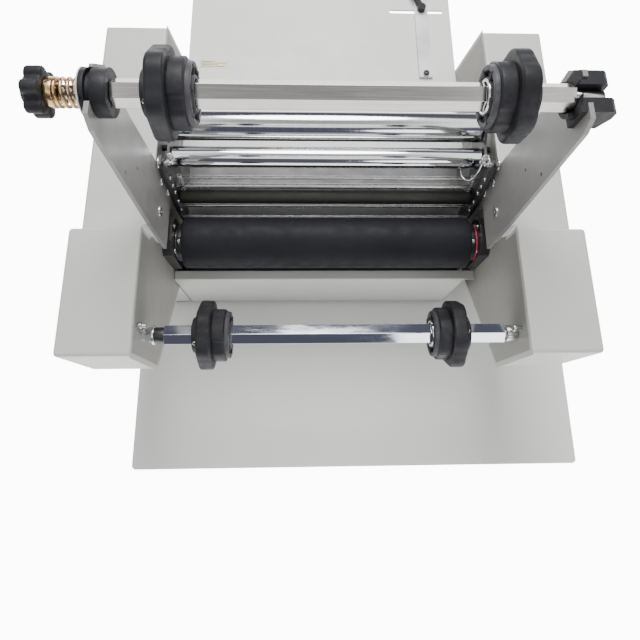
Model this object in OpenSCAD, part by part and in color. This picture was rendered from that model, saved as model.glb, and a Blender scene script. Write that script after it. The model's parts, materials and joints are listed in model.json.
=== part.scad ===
// Cold roll laminator: two side housings, a pair of rubber nip rollers, a supply shaft on raised
// arms, a driven take-up shaft at the output side and a feed table at the operator side.
// Frame: +X right, +Y towards the operator (infeed), +Z up. The origin lies on the bench plane,
// in the middle between the side frames, straight under the nip line.

/* [Housings] */
// Clear width between the two side frames
frame_gap = 400; // [340:1:500]
// Thickness of a side frame plate
frame_t = 6; // [4:0.5:9]
// Width of each housing, outwards from the side frame's inner face
housing_w = 76; // [64:1:100]
// Sheet thickness of the housing covers
cover_t = 2; // [1.5:0.1:3]
// Height of the front housing tops above the bench
front_top_z = 298; // [280:1:350]
// Step down from the front housing tops to the rear ones
top_step = 31; // [24:1:40]
// Depth of the front housings
front_len = 135; // [115:1:165]
// Length of the rear housing tops
rear_len = 282; // [250:1:340]
// Distance from the front housings' rear edge to the nip line
nip_back = 24; // [18:1:28]
// Height of the upright front face of a front housing
front_face_h = 107; // [90:1:120]
// Slope of the housings' underside
chin_angle = 34.8; // [30:0.1:38]
// Lean of the operator faces from upright
console_lean = 14; // [5:1:20]

/* [Base] */
// Thickness of the base board
board_t = 18; // [12:1:25]
// Reach of the base board to the left of the middle
board_left = 271; // [240:1:330]
// Reach of the base board to the right of the middle
board_right = 364; // [280:1:400]
// Reach of the base board in front of the nip line
board_front = 278; // [230:1:330]
// Reach of the base board behind the nip line
board_back = 310; // [280:1:370]
// Radius of the base board's corners
board_corner = 6; // [2:1:15]
// Height of the rubber feet between the base board and the machine
foot_h = 6; // [4:1:9]
// Diameter of a rubber foot
foot_d = 24; // [18:1:30]

/* [Nip rollers] */
// Diameter of each rubber nip roller
roller_d = 65; // [56:1:70]
// Diameter of a nip roller's steel core
core_d = 45; // [30:1:50]
// Bare length of the core at each end of the rubber
core_bare = 8; // [4:1:14]
// Diameter of the nip roller journals
journal_d = 20; // [14:1:22]
// Height of the nip line above the bench
nip_z = 152; // [148:1:160]
// Travel of the upper roller when the pressure is released
nip_lift = 6; // [3:0.5:7]
// Thickness of a bearing block
block_t = 12; // [8:0.5:12]
// Teeth on each nip roller gear
roller_teeth = 26; // [22:1:30]
// Teeth on the motor pinion
pinion_teeth = 16; // [14:1:18]
// Width of the gears' teeth
gear_w = 10; // [6:1:12]

/* [Supply shaft] */
// Distance across the flats of both hexagon bars
hex_af = 20; // [16:0.5:22]
// Height of the supply shaft above the bench
supply_z = 470; // [440:1:520]
// Place of the supply shaft behind the nip line
supply_y = 20; // [5:1:24]
// Thickness of a shaft arm
arm_t = 4; // [3:0.5:5]
// Width of a shaft arm at its foot
arm_w = 76; // [70:1:84]
// Gap between a shaft arm and its side frame
arm_gap = 6; // [4:0.5:8]
// Diameter of the tension hub
hub_d = 38; // [34:1:44]
// Diameter of the journal in the tension hub
supply_journal_d = 12; // [10:0.5:14]
// Diameter of the pin in the fork
supply_pin_d = 12; // [8:0.5:12]
// Diameter of the tension knob over its lobes
knob_d = 40; // [34:1:46]

/* [Take-up shaft] */
// Height of the take-up shaft above the bench
takeup_z = 262; // [250:1:268]
// Place of the take-up shaft in front of the nip line
takeup_front = 132; // [122:1:140]
// Diameter of the take-up shaft's end pins
takeup_pin_d = 8.6; // [6:0.2:10]

/* [Core chucks] */
// Diameter of a core chuck over its lobes
chuck_d = 73; // [66:1:80]
// Diameter of the step that enters the core
chuck_step_d = 56; // [46:1:60]
// Thickness of the lobed rim
chuck_rim_t = 15; // [10:1:20]
// Number of lobes on a chuck
chuck_lobes = 6; // [5:1:9]
// Clearance between a hexagon bar and a chuck
chuck_fit = 0.08; // [0.05:0.01:0.1]

/* [Guide rollers] */
// Diameter of the aluminium idler roller
idler_d = 36; // [28:1:40]
// Diameter of the chrome idler roller
chrome_d = 25; // [20:1:28]
// Diameter of the dark tension roller
tension_d = 19; // [15:1:21]
// Diameter of the idler journals
idler_pin_d = 8; // [6:0.5:10]

/* [Feed table] */
// Height of the feed table's face above the bench
table_z = 148; // [144:1:150]
// Reach of the feed table behind the nip line
table_back = 436; // [400:1:480]
// Thickness of the table sheet
table_t = 3; // [2:0.5:4]
// Depth of the table's folded edges
table_lip = 15; // [10:1:20]
// Width of the side guide bar
guide_w = 20; // [16:1:24]

/* [Hidden] */
$fn = 64;
run_fit = 0.05;
gap = 0.4;
xi = frame_gap / 2;
xo = xi + housing_w;
front_y = -nip_back - front_len;
step_y = -nip_back;
rear_y = step_y + rear_len;
rear_top_z = front_top_z - top_step;
chin_top_z = front_top_z - front_face_h;
foot_z = board_t + foot_h;
chin_foot_y = front_y + (chin_top_z - foot_z) / tan(chin_angle);
upper_z = nip_z + roller_d / 2;
lower_z = nip_z - roller_d / 2;
block_x = xi - gap - block_t;
roller_x = block_x - 1.4;
foot_x = xi - 40;
block_w = 50;
block_chamfer = 14;
block_split = nip_z - 15;
upper_block_top = upper_z + 37;
lower_block_bottom = lower_z - 37;
panel_y = -37;
panel_top_z = nip_z - 9;
arm_x = xi - arm_gap - arm_t;
arm_foot_z = upper_block_top + nip_lift + 2;
arm_front_y = step_y;
arm_back_y = step_y + arm_w;
arm_top_z = supply_z + 12;
supply_hex_end = arm_x - 6;
hub_slot_w = hub_d - 8;
takeup_y = -takeup_front;
hex_r = hex_af / 2 / cos(30);
screw_head_t = 2;
bracket_t = 3;
bracket_x = arm_x - screw_head_t - 0.4 - bracket_t;
guide_roller_x = bracket_x - 1;
idler_y = 120;
infeed_front = roller_d / 2 + 8;
idler_z = rear_top_z - 3;
chrome_y = 83;
chrome_z = rear_top_z - 13;
tension_y = 56;
tension_z = rear_top_z - 64;
bar_places = [[73, -46, 5], [64, -51, 7], [50, -80, 4], [42, -99, 5]];
infeed_back = 150;
gear_module = roller_d / roller_teeth;
pressure_angle = 20;
backlash = 0.5;
gear_x = xi + frame_t + 3;
pulley_x = gear_x + gear_w + 3;
pulley_w = 8;
drive_pulley_d = 35;
takeup_pulley_d = 42;
belt_t = 2.4;
belt_w = 6;
pinion_bearing = -20;
pinion_reach = gear_module * (roller_teeth + pinion_teeth) / 2;
pinion_y = pinion_reach * cos(pinion_bearing);
pinion_z = lower_z + pinion_reach * sin(pinion_bearing);
motor_d = 56;
slot_low = 108;
slot_high = 186;
slot_y = table_back - 40;
slot_w = 6;
guide_x = 144;
guide_front = 274;
guide_t = 4;
stud_d = 5;
lever_z = table_z + 9;
console_z = rear_top_z - 40;
panel_x = xi + housing_w / 2;

// A flat outline in Y and Z, extruded from x0 to x1.
module along_x(x0, x1) {
  translate([x0, 0, 0]) rotate([90, 0, 90]) linear_extrude(x1 - x0) children();
}

// A round bar along X.
module rod_x(x0, x1, y, z, d) {
  translate([x0, y, z]) rotate([0, 90, 0]) cylinder(d = d, h = x1 - x0);
}

// A hexagon bar along X, with its flats turned by the given angle.
module hex_x(x0, x1, y, z, r, turn) {
  translate([x0, y, z]) rotate([turn, 0, 0]) rotate([0, 90, 0]) cylinder(r = r, h = x1 - x0, $fn = 6);
}

// The same piece on both sides of the machine.
module both_sides() {
  children();
  mirror([1, 0, 0]) children();
}

function chin_z(y, inset) = chin_top_z - (y - front_y) * tan(chin_angle) + inset / cos(chin_angle);
function console_y(z, inset) = rear_y + (rear_top_z - z) * tan(console_lean) - inset / cos(console_lean);
function chin_y(z, inset) = front_y + (chin_top_z - z) / tan(chin_angle) + inset / sin(chin_angle);

// ---------------------------------------------------------------- base

module base_board() {
  color("whitesmoke")
    linear_extrude(board_t) {
      translate([-board_left, -board_front + board_corner])
        square([board_left + board_right, board_front + board_back - 2 * board_corner]);
      translate([-board_left + board_corner, -board_front])
        square([board_left + board_right - 2 * board_corner, board_front + board_back]);
      for (x = [-board_left + board_corner, board_right - board_corner])
        for (y = [-board_front + board_corner, board_back - board_corner])
          translate([x, y]) circle(r = board_corner);
    }
}

module machine_feet() {
  color("dimgray")
    for (x = [-foot_x, foot_x])
      for (y = [0, rear_y - 30])
        translate([x, y, board_t]) cylinder(d = foot_d, h = foot_h);
}

module bottom_plate() {
  back = console_y(foot_z, cover_t + gap);
  color("lightgray")
    translate([0, 0, foot_z]) linear_extrude(cover_t) {
      translate([-xi, panel_y + cover_t]) square([xi + roller_x, back - panel_y - cover_t]);
      translate([-xi, chin_foot_y + 10]) square([frame_gap, back - chin_foot_y - 10]);
    }
}

// ---------------------------------------------------------------- side frames

module frame_outline() {
  polygon([
    [front_y + cover_t, front_top_z - cover_t],
    [step_y - cover_t, front_top_z - cover_t],
    [step_y - cover_t, rear_top_z - cover_t],
    [console_y(rear_top_z - cover_t, cover_t), rear_top_z - cover_t],
    [console_y(foot_z, cover_t), foot_z],
    [chin_y(foot_z, cover_t), foot_z],
    [front_y + cover_t, chin_z(front_y + cover_t, cover_t)]]);
}

// An upright slot that lets the upper journal rise with its bearing block.
module journal_slot() {
  w = journal_d + 3;
  rod_x(xi - 1, xi + frame_t + 1, 0, upper_z, w);
  rod_x(xi - 1, xi + frame_t + 1, 0, upper_z + nip_lift, w);
  translate([xi - 1, -w / 2, upper_z]) cube([frame_t + 2, w, nip_lift]);
}

module side_frame() {
  difference() {
    along_x(xi, xi + frame_t) frame_outline();
    journal_slot();
    rod_x(xi - 1, xi + frame_t + 1, 0, lower_z, journal_d + 1);
    for (p = tie_places)
      rod_x(xi - 1, xi + frame_t + 1, p[0], p[1], tie_end_d);
  }
}

tie_d = 14;
tie_end_d = 8;
tie_places = [[110, 60], [230, 60], [150, 120]];
seat_d = takeup_pin_d + 4;

module left_side_frame() {
  color("lightgray")
    mirror([1, 0, 0])
      difference() {
        side_frame();
        rod_x(xi - 1, xi + frame_t + 1, takeup_y, takeup_z, seat_d + 2 * run_fit);
      }
}

module right_side_frame() {
  color("lightgray")
    difference() {
      side_frame();
      rod_x(xi - 1, xi + frame_t + 1, takeup_y, takeup_z, seat_d);
      chin_notch(xi - 1, xi + frame_t + 1);
    }
}

notch_y = front_y + 30;
notch_w = 16;

// A notch that is open to the sloping underside.
module chin_notch(x0, x1) {
  along_x(x0, x1)
    polygon([
      [notch_y, chin_z(notch_y, -5)],
      [notch_y, chin_z(notch_y, 40)],
      [notch_y + notch_w, chin_z(notch_y + notch_w, 40)],
      [notch_y + notch_w, chin_z(notch_y + notch_w, -5)]]);
}

module tie_rods() {
  color("silver")
    for (p = tie_places) {
      rod_x(-xi, xi, p[0], p[1], tie_d);
      rod_x(-xi - frame_t, -xi, p[0], p[1], tie_end_d);
      rod_x(xi, xi + frame_t, p[0], p[1], tie_end_d);
    }
}

// ---------------------------------------------------------------- housing covers

module front_cover() {
  difference() {
    along_x(xi, xo)
      polygon([
        [front_y, front_top_z],
        [step_y, front_top_z],
        [step_y, chin_z(step_y, 0)],
        [front_y, chin_top_z]]);
    along_x(xi - 1, xo - cover_t)
      polygon([
        [front_y + cover_t, front_top_z - cover_t],
        [step_y - cover_t, front_top_z - cover_t],
        [step_y - cover_t, rear_top_z - cover_t],
        [step_y + 1, rear_top_z - cover_t],
        [step_y + 1, chin_z(step_y + 1, cover_t)],
        [front_y + cover_t, chin_z(front_y + cover_t, cover_t)]]);
    along_x(xo - cover_t - 1, xo + 1)
      polygon([
        [step_y - 10, -10],
        [step_y + 1, -10],
        [step_y + 1, chin_z(step_y, 0)]]);
  }
}

module rear_cover(open_front) {
  difference() {
    along_x(xi, xo)
      polygon([
        [step_y, rear_top_z],
        [rear_y, rear_top_z],
        [console_y(foot_z, 0), foot_z],
        [chin_foot_y, foot_z],
        [step_y, chin_z(step_y, 0)]]);
    along_x(xi - 1, xo - cover_t)
      polygon([
        [step_y - 1, rear_top_z - cover_t],
        [console_y(rear_top_z - cover_t, cover_t), rear_top_z - cover_t],
        [console_y(foot_z - 1, cover_t), foot_z - 1],
        [chin_y(foot_z - 1, open_front ? -3 : cover_t), foot_z - 1],
        [step_y - 1, chin_z(step_y - 1, open_front ? -3 : cover_t)]]);
  }
}

// The left cover's underside stops at the lower cover, which takes in the gears.
module left_front_cover() {
  color("gainsboro")
    mirror([1, 0, 0])
      difference() {
        front_cover();
        translate([xi - 1, panel_y + cover_t, chin_z(step_y, 0) - 20])
          cube([housing_w - cover_t + 1, step_y - panel_y, 40]);
      }
}

module right_front_cover() {
  color("gainsboro")
    difference() {
      front_cover();
      chin_notch(xi - 1, xi + frame_t + 14);
    }
}

module left_rear_cover() {
  color("gainsboro")
    difference() {
      mirror([1, 0, 0]) rear_cover(true);
      console_place(-panel_x, inlet_z) cylinder(d = 24, h = 30, center = true);
    }
}

module right_rear_cover() {
  color("gainsboro")
    difference() {
      rear_cover(false);
      for (p = button_places)
        console_place(panel_x + p[0], console_z + p[1]) cylinder(d = button_d + 1, h = 30, center = true);
      console_place(panel_x, knob_z) cylinder(d = spindle_d + 1, h = 30, center = true);
      console_place(panel_x, lever_place_z) cylinder(d = lever_shaft_d + 1, h = 30, center = true);
    }
}

// Turns a piece's own +Z to the outward normal of an operator face, at width x and height z.
module console_place(x, z) {
  translate([x, console_y(z, 0), z]) rotate([-90 + console_lean, 0, 0]) children();
}

module left_lower_cover() {
  y0 = panel_y;
  color("gainsboro")
    mirror([1, 0, 0])
      difference() {
        along_x(xi, xo)
          polygon([
            [y0, foot_z],
            [y0, chin_z(y0, -gap)],
            [chin_y(foot_z, -gap), foot_z]]);
        along_x(xi - 1, xo - cover_t)
          polygon([
            [y0 + cover_t, foot_z - 1],
            [y0 + cover_t, chin_z(y0, 5)],
            [chin_y(foot_z, 8), foot_z - 1]]);
      }
}

// The front sheet reaches the left side frame; its folded top reaches both.
module output_panel() {
  x1 = roller_x;
  x2 = xi - gap;
  color("lightgray") {
    along_x(-x2, x1)
      polygon([
        [panel_y, foot_z],
        [panel_y, panel_top_z],
        [panel_y + cover_t, panel_top_z],
        [panel_y + cover_t, foot_z]]);
    along_x(-x2, x2)
      polygon([
        [panel_y, panel_top_z - cover_t],
        [panel_y, panel_top_z],
        [panel_y + 12, panel_top_z],
        [panel_y + 12, panel_top_z - cover_t]]);
    for (s = [-1, 1])
      translate([s > 0 ? x1 - 10 : -x2, panel_y + cover_t, foot_z + cover_t])
        cube([10, 12, 20]);
  }
}

// ---------------------------------------------------------------- arms

module arm_outline() {
  polygon([
    [arm_front_y, arm_foot_z],
    [arm_back_y - 22, arm_foot_z],
    [arm_back_y - 18, arm_foot_z - 18],
    [arm_back_y, arm_foot_z - 18],
    [arm_back_y, rear_top_z + 36],
    [arm_back_y - 4, supply_z - 78],
    [arm_back_y, supply_z - 8],
    [arm_back_y - 14, arm_top_z],
    [arm_front_y + 18, arm_top_z],
    [arm_front_y + 12, supply_z - 2],
    [arm_front_y + 2, rear_top_z + 30]]);
}

arm_screw_places = [[65, -25, 9], [66, -56, 8], [30, -27, 12]];

module arm_plate() {
  difference() {
    along_x(arm_x, arm_x + arm_t) arm_outline();
    for (p = arm_screw_places)
      rod_x(arm_x - 1, xi, arm_front_y + p[0], front_top_z + p[1], 5);
    rod_x(arm_x - 1, xi, arm_front_y + 37, rear_top_z + 92, 4);
    rod_x(arm_x - 1, xi, arm_front_y + 17, rear_top_z + 123, 4);
  }
}

// The left arm holds the tension hub in a round bottomed slot.
module left_arm() {
  color("darkgray")
    mirror([1, 0, 0])
      difference() {
        arm_plate();
        rod_x(arm_x - 1, xi, supply_y, supply_z, hub_slot_w);
        translate([arm_x - 1, supply_y - hub_slot_w / 2, supply_z]) cube([arm_t + 2, hub_slot_w, 40]);
      }
}

// The right arm holds the fork block in a square notch.
module right_arm() {
  color("darkgray")
    difference() {
      arm_plate();
      translate([arm_x - 1, supply_y - fork_notch / 2, supply_z - fork_drop])
        cube([arm_t + 2, fork_notch, 60]);
    }
}

module arm_spacers() {
  color("whitesmoke")
    both_sides()
      difference() {
        union() {
          translate([arm_x + arm_t, arm_front_y + 6, arm_foot_z + 4])
            cube([arm_gap, arm_w - 14, rear_top_z - arm_foot_z - 4]);
          translate([arm_x + arm_t, arm_front_y + 3, rear_top_z - 6]) cube([arm_gap, 7, 38]);
        }
        for (p = arm_screw_places)
          rod_x(arm_x, xi + 1, arm_front_y + p[0], front_top_z + p[1], 5);
      }
}

module arm_screws() {
  color("silver")
    both_sides()
      for (p = arm_screw_places)
        translate([arm_x, arm_front_y + p[0], front_top_z + p[1]])
          rotate([0, -90, 0])
            difference() {
              cylinder(d = p[2], h = screw_head_t);
              translate([0, 0, screw_head_t / 2]) cylinder(d = p[2] * 0.55, h = 3, $fn = 6);
            }
}

fork_notch = 24;
fork_drop = 7.5;
fork_prong = 13;
fork_depth = 26.5;
fork_tip = 2.5;
fork_x = supply_hex_end + 0.8;

fork_below = 14;
saddle_wall = 5;
saddle_len = 4.5;

// The fork's outline in X and Z: its outer end is cut away below.
module fork_side(reach) {
  low = supply_z - fork_below;
  polygon([
    [fork_x, low], [fork_x + reach - 6, low], [fork_x + reach, supply_z],
    [fork_x + reach, supply_z + 8], [fork_x + reach - 3, supply_z + 10], [fork_x, supply_z + 10]]);
}

// One prong or the middle of the fork, from y0 to y1.
module fork_slice(y0, y1, reach) {
  translate([0, y1, 0]) rotate([90, 0, 0]) linear_extrude(y1 - y0) fork_side(reach);
}

// An open fork that the supply shaft's right end drops into; the arm plate fits in its grooves.
module fork_block() {
  w = supply_pin_d + 2 * run_fit;
  y0 = supply_y - w / 2 - fork_prong;
  groove_z = supply_z - fork_below - 1;
  color("dimgray")
    difference() {
      union() {
        fork_slice(y0, supply_y - w / 2, fork_depth + fork_tip);
        fork_slice(supply_y - w / 2 - 1, supply_y + w / 2 + fork_prong, fork_depth);
        rod_x(fork_x - saddle_len, fork_x + 1, supply_y, supply_z, 2 * (hex_r + saddle_wall));
      }
      translate([fork_x - 1, supply_y - w / 2, supply_z]) cube([fork_depth + 2, w, 40]);
      rod_x(fork_x - 1, fork_x + fork_depth + 1, supply_y, supply_z, w);
      rod_x(fork_x - saddle_len - 1, fork_x, supply_y, supply_z, 2 * (hex_r + 1));
      translate([fork_x - saddle_len - 1, supply_y - 30, supply_z - 2]) cube([saddle_len + 1, 60, 40]);
      translate([arm_x, supply_y - 40, groove_z]) cube([arm_t, 80, fork_below + 1 - fork_drop]);
      translate([arm_x, supply_y + fork_notch / 2, groove_z]) cube([arm_t, 24, 60]);
      translate([arm_x, supply_y - fork_notch / 2 - 24, groove_z]) cube([arm_t, 24, 60]);
    }
}

// ---------------------------------------------------------------- supply shaft

hub_w = 21;
knob_t = 19;
spring_d = 24;
spring_wire = 3;
spring_turns = 4;
spring_len = 19;
nut_t = 6;
hub_x = arm_x + arm_t + 5;
nut_x = hub_x + 2.4 + spring_len;

// A stationary friction hub; the arm plate runs in its groove.
module tension_hub() {
  color("dimgray")
    mirror([1, 0, 0])
      difference() {
        rod_x(hub_x - hub_w, hub_x, supply_y, supply_z, hub_d);
        rod_x(hub_x - hub_w - 1, hub_x + 1, supply_y, supply_z, supply_journal_d + 2 * run_fit);
        difference() {
          translate([arm_x, supply_y - hub_d, supply_z - hub_d]) cube([arm_t, 2 * hub_d, 2 * hub_d]);
          rod_x(arm_x - 2, arm_x + arm_t + 2, supply_y, supply_z, hub_slot_w);
        }
        for (a = [45:90:315])
          translate([hub_x - 3, supply_y, supply_z]) rotate([a, 0, 0])
            translate([0, -1.5, hub_d / 2 - 4]) cube([4, 3, 8]);
      }
}

supply_left_end = hub_x - hub_w - 0.6;
supply_pin_end = arm_x + arm_t + 15;

module supply_bar() {
  color("silver")
    union() {
      hex_x(-supply_left_end, supply_hex_end, supply_y, supply_z, hex_r, supply_bar_turn);
      rod_x(supply_hex_end, supply_pin_end, supply_y, supply_z, supply_pin_d);
      rod_x(-nut_x - nut_t - 9, -supply_left_end, supply_y, supply_z, supply_journal_d);
    }
}

// Coils of the tension spring as stacked rings of round wire.
module tension_spring() {
  pitch = (spring_len - spring_wire) / (spring_turns - 1);
  color("goldenrod")
    for (i = [0:spring_turns - 1])
      translate([-hub_x - 2.4 - spring_wire / 2 - i * pitch, supply_y, supply_z])
        rotate([0, 90, 0]) rotate_extrude() translate([spring_d / 2 - spring_wire / 2, 0])
          circle(d = spring_wire, $fn = 24);
}

module spring_washers() {
  color("silver")
    mirror([1, 0, 0])
      difference() {
        rod_x(hub_x + 0.4, hub_x + 2.4, supply_y, supply_z, spring_d + 6);
        rod_x(hub_x, hub_x + 4, supply_y, supply_z, supply_journal_d);
      }
}

module tension_nut() {
  color("goldenrod")
    mirror([1, 0, 0])
      difference() {
        rod_x(nut_x, nut_x + nut_t, supply_y, supply_z, spring_d);
        rod_x(nut_x - 1, nut_x + nut_t + 1, supply_y, supply_z, supply_journal_d + 2 * run_fit);
      }
}

// A disc with round lobes at its edge.
module lobed_outline(d, lobes, lobe_d, rim) {
  circle(d = d - rim);
  for (i = [0:lobes - 1])
    rotate(i * 360 / lobes) translate([(d - lobe_d) / 2, 0]) circle(d = lobe_d);
}

module tension_knob() {
  color("dimgray")
    translate([-nut_x - nut_t - 0.3, supply_y, supply_z]) rotate([0, -90, 0])
      difference() {
        union() {
          linear_extrude(knob_t) lobed_outline(knob_d, 6, 12, 9);
          translate([0, 0, knob_t]) cylinder(d = knob_d * 0.55, h = 4);
        }
        translate([0, 0, -1]) cylinder(d = supply_journal_d + 2 * run_fit, h = knob_t + 3);
      }
}

// ---------------------------------------------------------------- core chucks

chuck_collar_t = 7;
chuck_step_t = 13;
chuck_nose_t = 5;
supply_bar_turn = -9;
takeup_bar_turn = 8;

// A core chuck along +X: collar, lobed rim, core step and ribbed nose, bored for a hexagon bar.
module chuck(turn, bar_turn) {
  nose_x = chuck_collar_t + chuck_rim_t + chuck_step_t;
  rotate([turn, 0, 0]) rotate([90, 0, 90])
    difference() {
      union() {
        cylinder(d = chuck_step_d * 2 / 3, h = chuck_collar_t);
        translate([0, 0, chuck_collar_t])
          linear_extrude(chuck_rim_t)
            lobed_outline(chuck_d, chuck_lobes, chuck_d * 0.47, 5);
        translate([0, 0, chuck_collar_t + chuck_rim_t]) cylinder(d = chuck_step_d, h = chuck_step_t);
        translate([0, 0, nose_x]) cylinder(d = chuck_step_d - 5, h = chuck_nose_t);
      }
      translate([0, 0, -1]) rotate(30 + bar_turn - turn)
        cylinder(r = hex_r + chuck_fit / cos(30), h = nose_x + chuck_nose_t + 2, $fn = 6);
      translate([0, 0, nose_x + 1])
        difference() {
          cylinder(d = chuck_step_d - 10, h = chuck_nose_t);
          translate([0, 0, -1]) cylinder(d = hex_af + 10, h = chuck_nose_t + 2);
          for (a = [0:60:300])
            rotate(a) translate([0, -1.5, -1]) cube([chuck_step_d, 3, chuck_nose_t + 2]);
        }
      translate([0, 0, chuck_collar_t / 2]) rotate([-90, 0, 0]) cylinder(d = 4, h = chuck_d, $fn = 24);
    }
}

chuck_len = chuck_collar_t + chuck_rim_t + chuck_step_t + chuck_nose_t;
supply_chuck_x = xi - 47;
takeup_chuck_x = xi - 54;

module supply_left_chuck() {
  color("dimgray") translate([-supply_chuck_x, supply_y, supply_z]) chuck(22, supply_bar_turn);
}

module supply_right_chuck() {
  color("dimgray") translate([supply_chuck_x, supply_y, supply_z]) mirror([1, 0, 0]) chuck(22, supply_bar_turn);
}

module takeup_left_chuck() {
  color("dimgray") translate([-takeup_chuck_x, takeup_y, takeup_z]) chuck(8, takeup_bar_turn);
}

module takeup_right_chuck() {
  color("dimgray") translate([takeup_chuck_x, takeup_y, takeup_z]) mirror([1, 0, 0]) chuck(8, takeup_bar_turn);
}

// ---------------------------------------------------------------- take-up shaft

takeup_hex_x = xi - 24;
cup_d = hex_af + 1;

module takeup_bar() {
  color("slategray") {
    hex_x(-takeup_hex_x, xi - 15, takeup_y, takeup_z, hex_r, takeup_bar_turn);
    rod_x(xi - 15, xi + 3, takeup_y, takeup_z, takeup_pin_d);
  }
}

module takeup_coupling() {
  color("dimgray") rod_x(-takeup_hex_x - 10, -takeup_hex_x, takeup_y, takeup_z, hex_af - 3);
}

// A flanged cup on the driven stub that turns the take-up bar.
module takeup_cup() {
  color("silver") {
    rod_x(-xi + 4, -takeup_hex_x - 10, takeup_y, takeup_z, cup_d);
    rod_x(-pulley_x - pulley_w - 2, -xi + 4, takeup_y, takeup_z, seat_d);
  }
}

latch_y = takeup_y + 2;
latch_z = takeup_z + 18;

// The right end's seat and the latch pin above it.
module takeup_seat() {
  color("silver") {
    difference() {
      union() {
        rod_x(xi - 12, xi, takeup_y, takeup_z, hex_af - 2);
        rod_x(xi, xi + frame_t, takeup_y, takeup_z, seat_d);
      }
      rod_x(xi - 13, xi + frame_t + 1, takeup_y, takeup_z, takeup_pin_d + 2 * run_fit);
    }
    rod_x(xi - 10, xi - 6, latch_y, latch_z, 8);
    rod_x(xi - 6, xi, latch_y, latch_z, 5);
  }
}

module takeup_pulley() {
  color("darkgray")
    mirror([1, 0, 0])
      difference() {
        belt_pulley(takeup_y, takeup_z, takeup_pulley_d);
        rod_x(pulley_x - 1, pulley_x + pulley_w + 1, takeup_y, takeup_z, seat_d + 2 * run_fit);
      }
}

// A flanged pulley for the flat belt.
module belt_pulley(y, z, d) {
  edge = (pulley_w - belt_w) / 2 - 0.3;
  rod_x(pulley_x, pulley_x + pulley_w, y, z, d - 0.8);
  rod_x(pulley_x, pulley_x + edge, y, z, d + 5);
  rod_x(pulley_x + pulley_w - edge, pulley_x + pulley_w, y, z, d + 5);
}

// The closed outline that a belt takes round both pulleys.
module belt_loop(extra) {
  r1 = drive_pulley_d / 2 + extra;
  r2 = takeup_pulley_d / 2 + extra;
  dy = takeup_y;
  dz = takeup_z - lower_z;
  reach = sqrt(dy * dy + dz * dz);
  dir = atan2(dz, dy);
  open = acos((r1 - r2) / reach);
  p = [for (s = [-1, 1]) [[r1 * cos(dir + s * open), lower_z + r1 * sin(dir + s * open)],
    [takeup_y + r2 * cos(dir + s * open), takeup_z + r2 * sin(dir + s * open)]]];
  translate([0, lower_z]) circle(r = r1);
  translate([takeup_y, takeup_z]) circle(r = r2);
  polygon([p[0][0], p[0][1], p[1][1], p[1][0]]);
}

module drive_belt() {
  belt_x = pulley_x + (pulley_w - belt_w) / 2;
  color("dimgray")
    mirror([1, 0, 0])
      along_x(belt_x, belt_x + belt_w)
        difference() {
          belt_loop(belt_t);
          belt_loop(0);
        }
}

// ---------------------------------------------------------------- nip rollers

module block_outline(y, z0, z1) {
  w = block_w / 2;
  c = block_chamfer;
  polygon([
    [y - w, z0 + c], [y - w + c, z0], [y + w - c, z0], [y + w, z0 + c],
    [y + w, z1 - c], [y + w - c, z1], [y - w + c, z1], [y - w, z1 - c]]);
}

module upper_blocks() {
  color("dimgray")
    both_sides()
      difference() {
        along_x(block_x, xi - gap) block_outline(0, block_split + 1, upper_block_top);
        rod_x(block_x - 1, xi, 0, upper_z, journal_d + 2 * run_fit);
      }
}

module lower_blocks() {
  color("dimgray")
    both_sides()
      difference() {
        along_x(block_x, xi) block_outline(0, lower_block_bottom, block_split - 1);
        rod_x(block_x - 1, xi + 1, 0, lower_z, journal_d + 2 * run_fit);
      }
}

module roller_core(z) {
  color("silver") {
    rod_x(-roller_x, roller_x, 0, z, core_d);
    rod_x(-gear_x - gear_w - 1, -roller_x, 0, z, journal_d);
    rod_x(roller_x, xi - 3, 0, z, journal_d);
  }
}

module roller_rubber(z) {
  color("dimgray")
    difference() {
      rod_x(-roller_x + core_bare, roller_x - core_bare, 0, z, roller_d - 0.1);
      rod_x(-roller_x - 1, roller_x + 1, 0, z, core_d);
    }
}

module upper_core() {
  roller_core(upper_z);
}

module upper_rubber() {
  roller_rubber(upper_z);
}

module lower_core() {
  roller_core(lower_z);
  color("silver") rod_x(-pulley_x - pulley_w, -gear_x - gear_w - 1, 0, lower_z, journal_d);
  color("silver") mirror([1, 0, 0]) belt_pulley(0, lower_z, drive_pulley_d);
}

module lower_rubber() {
  roller_rubber(lower_z);
}

module seal_ring() {
  color("firebrick")
    difference() {
      rod_x(roller_x, block_x - 0.4, 0, upper_z, core_d + 2);
      rod_x(roller_x - 1, block_x + 1, 0, upper_z, journal_d);
    }
}

// One flank point of an involute at radius r, as an angle from the tooth's middle.
function involute(a) = tan(a) * 180 / PI - a;
function flank(r, rp, rb, half) = half + involute(pressure_angle) - involute(acos(min(1, rb / r)));

// A spur gear outline with involute flanks.
module gear_outline(teeth, turn) {
  rp = gear_module * teeth / 2;
  rb = rp * cos(pressure_angle);
  ra = rp + 0.92 * gear_module;
  rf = rp - 1.25 * gear_module;
  half = 90 / teeth - backlash / 2 / rp * 180 / PI / 2;
  steps = 5;
  r0 = max(rb, rf + 0.2);
  rs = [for (i = [0:steps]) r0 + (ra - r0) * i / steps];
  polygon([for (t = [0:teeth - 1]) let (m = turn + t * 360 / teeth)
    each concat(
      [[rf * cos(m - flank(r0, rp, rb, half)), rf * sin(m - flank(r0, rp, rb, half))]],
      [for (r = rs) [r * cos(m - flank(r, rp, rb, half)), r * sin(m - flank(r, rp, rb, half))]],
      [for (i = [steps:-1:0]) [rs[i] * cos(m + flank(rs[i], rp, rb, half)),
        rs[i] * sin(m + flank(rs[i], rp, rb, half))]],
      [[rf * cos(m + flank(r0, rp, rb, half)), rf * sin(m + flank(r0, rp, rb, half))]])]);
}

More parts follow.
